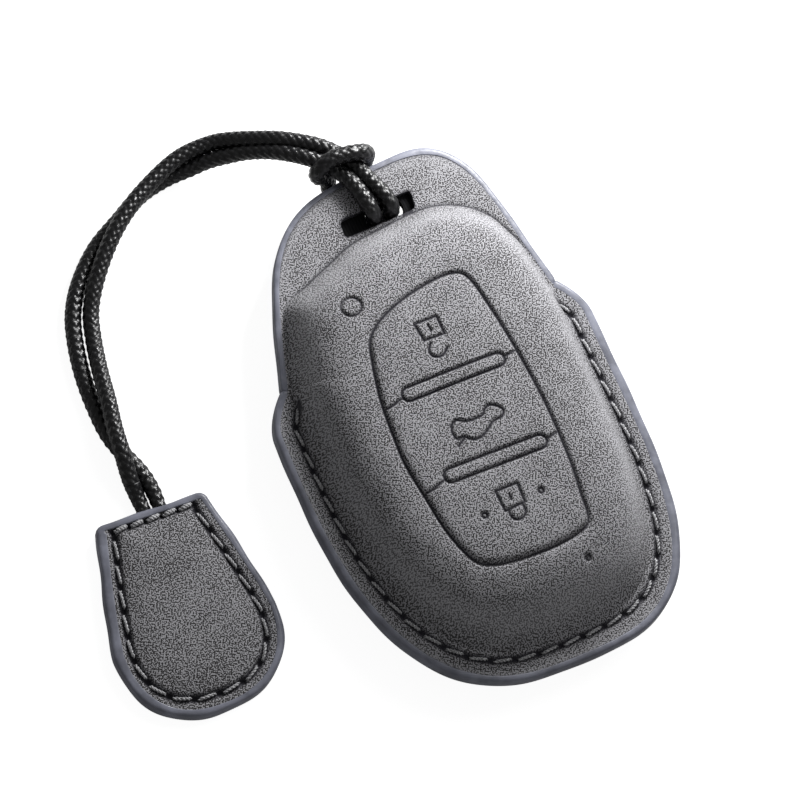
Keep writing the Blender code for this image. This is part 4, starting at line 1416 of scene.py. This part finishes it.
class KEYPOUCH_OT_tag(bpy.types.Operator):
    """Make the pull tag: two leathers over a thin foam, sewn and painted all round"""

    bl_idname = "key_pouch.tag"
    bl_label = "Pull tag"

    def execute(self, context):
        scene = context.scene
        seams, setback = scene.key_pouch_seams, scene.key_pouch_sizes.coat_reach
        pattern = tag_pattern(scene.key_pouch_tag, seams)
        for side_name, side, level, groove, _, _ in TAG_SIDES:
            swell = pattern.crown if side > 0 else np.zeros(len(pattern.crown))
            leather = add_tag_leather(f"tag_{side_name}_suede", pattern, swell, side, level,
                                      groove * seams.groove, setback)
            ride(leather, "pull_tag", "suede", f"tag_{side_name}")
        foam = add_tag_foam(pattern, setback)
        ride(foam, "pull_tag", "padding", "tag_padding")

        offsets = outward(pattern.outline)
        section = coat_section(setback, TAG_TOP, 0.0, TAG_LIP)
        coat = add_coat("tag_edge_paint", pattern.outline, offsets, section,
                        lambda at: place_tag(at, setback), is_loop=True, waves=TAG_COAT_WAVES,
                        lips=1 + TAG_LIP_GROWTH * np.clip(-offsets[:, 0], 0, 1) ** 2)
        points = point_array(coat)
        points[:, 2] = np.maximum(points[:, 2], 0)
        set_points(coat, points)
        ride(coat, "pull_tag", "edge_coat", "tag_edge_coat")

        for side_name, side, level, _, lift, share in TAG_SIDES:
            for row in pattern.rows:
                thread = add_stitches(f"tag_{side_name}_{row.name}_thread",
                                      *row_along(row, level, setback), side,
                                      seams.thread * row.thickness * share, lift)
                ride(thread, "pull_tag", "cord")
        return {"FINISHED"}


def add_camera(scene, field_of_view):
    """The camera at the photograph's place and angle."""
    data = bpy.data.cameras.new("camera")
    data.sensor_width = 36
    data.angle = field_of_view
    data.clip_start = 0.01
    camera = bpy.data.objects.new("camera", data)
    turn = Matrix(CAMERA_AXES).transposed().to_4x4()
    camera.matrix_world = Matrix.Translation(Vector(CAMERA_PLACE)) @ turn
    scene.collection.objects.link(camera)
    scene.camera = camera


def add_lamp(scene, name, place, size, power):
    """A soft square lamp that looks at the pouch."""
    data = bpy.data.lights.new(name, "AREA")
    data.size, data.energy = size, power
    lamp = bpy.data.objects.new(name, data)
    aim = (Vector(LAMP_AIM) - Vector(place)).to_track_quat("-Z", "Y").to_matrix().to_4x4()
    lamp.matrix_world = Matrix.Translation(Vector(place)) @ aim
    scene.collection.objects.link(lamp)


def camera_rays(tree):
    """One for rays from the camera, nothing for the rest."""
    return add_node(tree, "ShaderNodeLightPath").outputs["Is Camera Ray"]


def make_world(scene, sky):
    """Even light from all round, which the camera sees as white."""
    world = bpy.data.worlds.new("studio")
    world.use_nodes = True
    tree = world.node_tree
    tree.nodes.clear()
    strength = remap(tree, camera_rays(tree), 0, 1, sky, 1.0, kind="LINEAR")
    light = add_node(tree, "ShaderNodeBackground", {"Color": (1, 1, 1, 1), "Strength": strength})
    add_node(tree, "ShaderNodeOutputWorld", {"Surface": light.outputs[0]})
    scene.world = world


def floor_material():
    """A pale floor that the camera sees as white, with the object's shadow on it."""
    material, tree, shader = new_material("white sweep")
    tree.nodes.remove(shader)
    plain = add_node(tree, "ShaderNodeBsdfDiffuse", {"Color": (0.8, 0.8, 0.8, 1)})
    shade = add_node(tree, "ShaderNodeBsdfDiffuse", {"Color": (0.5, 0.5, 0.5, 1)})
    glow = add_node(tree, "ShaderNodeEmission", {"Color": (1, 1, 1, 1), "Strength": 0.92})
    lit = add_node(tree, "ShaderNodeAddShader", {0: shade.outputs[0], 1: glow.outputs[0]})
    mix = add_node(tree, "ShaderNodeMixShader", {
        0: camera_rays(tree), 1: plain.outputs[0], 2: lit.outputs[0]})
    tree.links.new(mix.outputs[0], tree.nodes["Material Output"].inputs["Surface"])
    return material


class KEYPOUCH_OT_studio(bpy.types.Operator):
    """Set the floor, the lamps and the camera"""

    bl_idname = "key_pouch.studio"
    bl_label = "Studio"

    def execute(self, context):
        scene = context.scene
        studio = scene.key_pouch_studio
        scene.view_settings.view_transform = "Standard"
        add_camera(scene, studio.field_of_view)
        for name, place, size, power in LAMPS:
            add_lamp(scene, name, place, size, getattr(studio, power))
        make_world(scene, studio.sky)
        bpy.ops.mesh.primitive_grid_add(x_subdivisions=8, y_subdivisions=8, size=FLOOR_SIZE,
                                        location=(0, 0, -FLOOR_DROP))
        floor = context.object
        floor.name = "floor"
        floor.data.materials.append(floor_material())
        return {"FINISHED"}


class KEYPOUCH_PT_sidebar(bpy.types.Panel):
    """Lists the sizes, the colours and the steps of the key pouch"""

    bl_idname = "KEYPOUCH_PT_sidebar"
    bl_label = "Key Pouch"
    bl_space_type = "VIEW_3D"
    bl_region_type = "UI"
    bl_category = "Key Pouch"

    def draw(self, context):
        for name, (group, title) in GROUPS.items():
            box = self.layout.box()
            box.label(text=title)
            for field in group.__annotations__:
                box.prop(getattr(context.scene, name), field)
        for step in STEPS:
            self.layout.operator(step.bl_idname)


GROUPS = {
    "key_pouch_sizes": (PouchSizes, "Pouch"),
    "key_pouch_seams": (SeamSizes, "Seams"),
    "key_pouch_cord": (CordSizes, "Cord"),
    "key_pouch_tag": (TagSizes, "Tag"),
    "key_pouch_finishes": (Finishes, "Colours"),
    "key_pouch_studio": (Studio, "Studio"),
}
STEPS = (
    KEYPOUCH_OT_cord, KEYPOUCH_OT_covers, KEYPOUCH_OT_edges, KEYPOUCH_OT_seams, KEYPOUCH_OT_tag,
    KEYPOUCH_OT_studio,
)


def register():
    for name, (group, _) in GROUPS.items():
        bpy.utils.register_class(group)
        setattr(bpy.types.Scene, name, PointerProperty(type=group))
    for step in (*STEPS, KEYPOUCH_PT_sidebar):
        bpy.utils.register_class(step)


def unregister():
    for step in (KEYPOUCH_PT_sidebar, *STEPS[::-1]):
        bpy.utils.unregister_class(step)
    for name, (group, _) in GROUPS.items():
        delattr(bpy.types.Scene, name)
        bpy.utils.unregister_class(group)


def main():
    register()
    for step in STEPS:
        space, name = step.bl_idname.split(".")
        getattr(getattr(bpy.ops, space), name)()


if __name__ == "__main__":
    main()
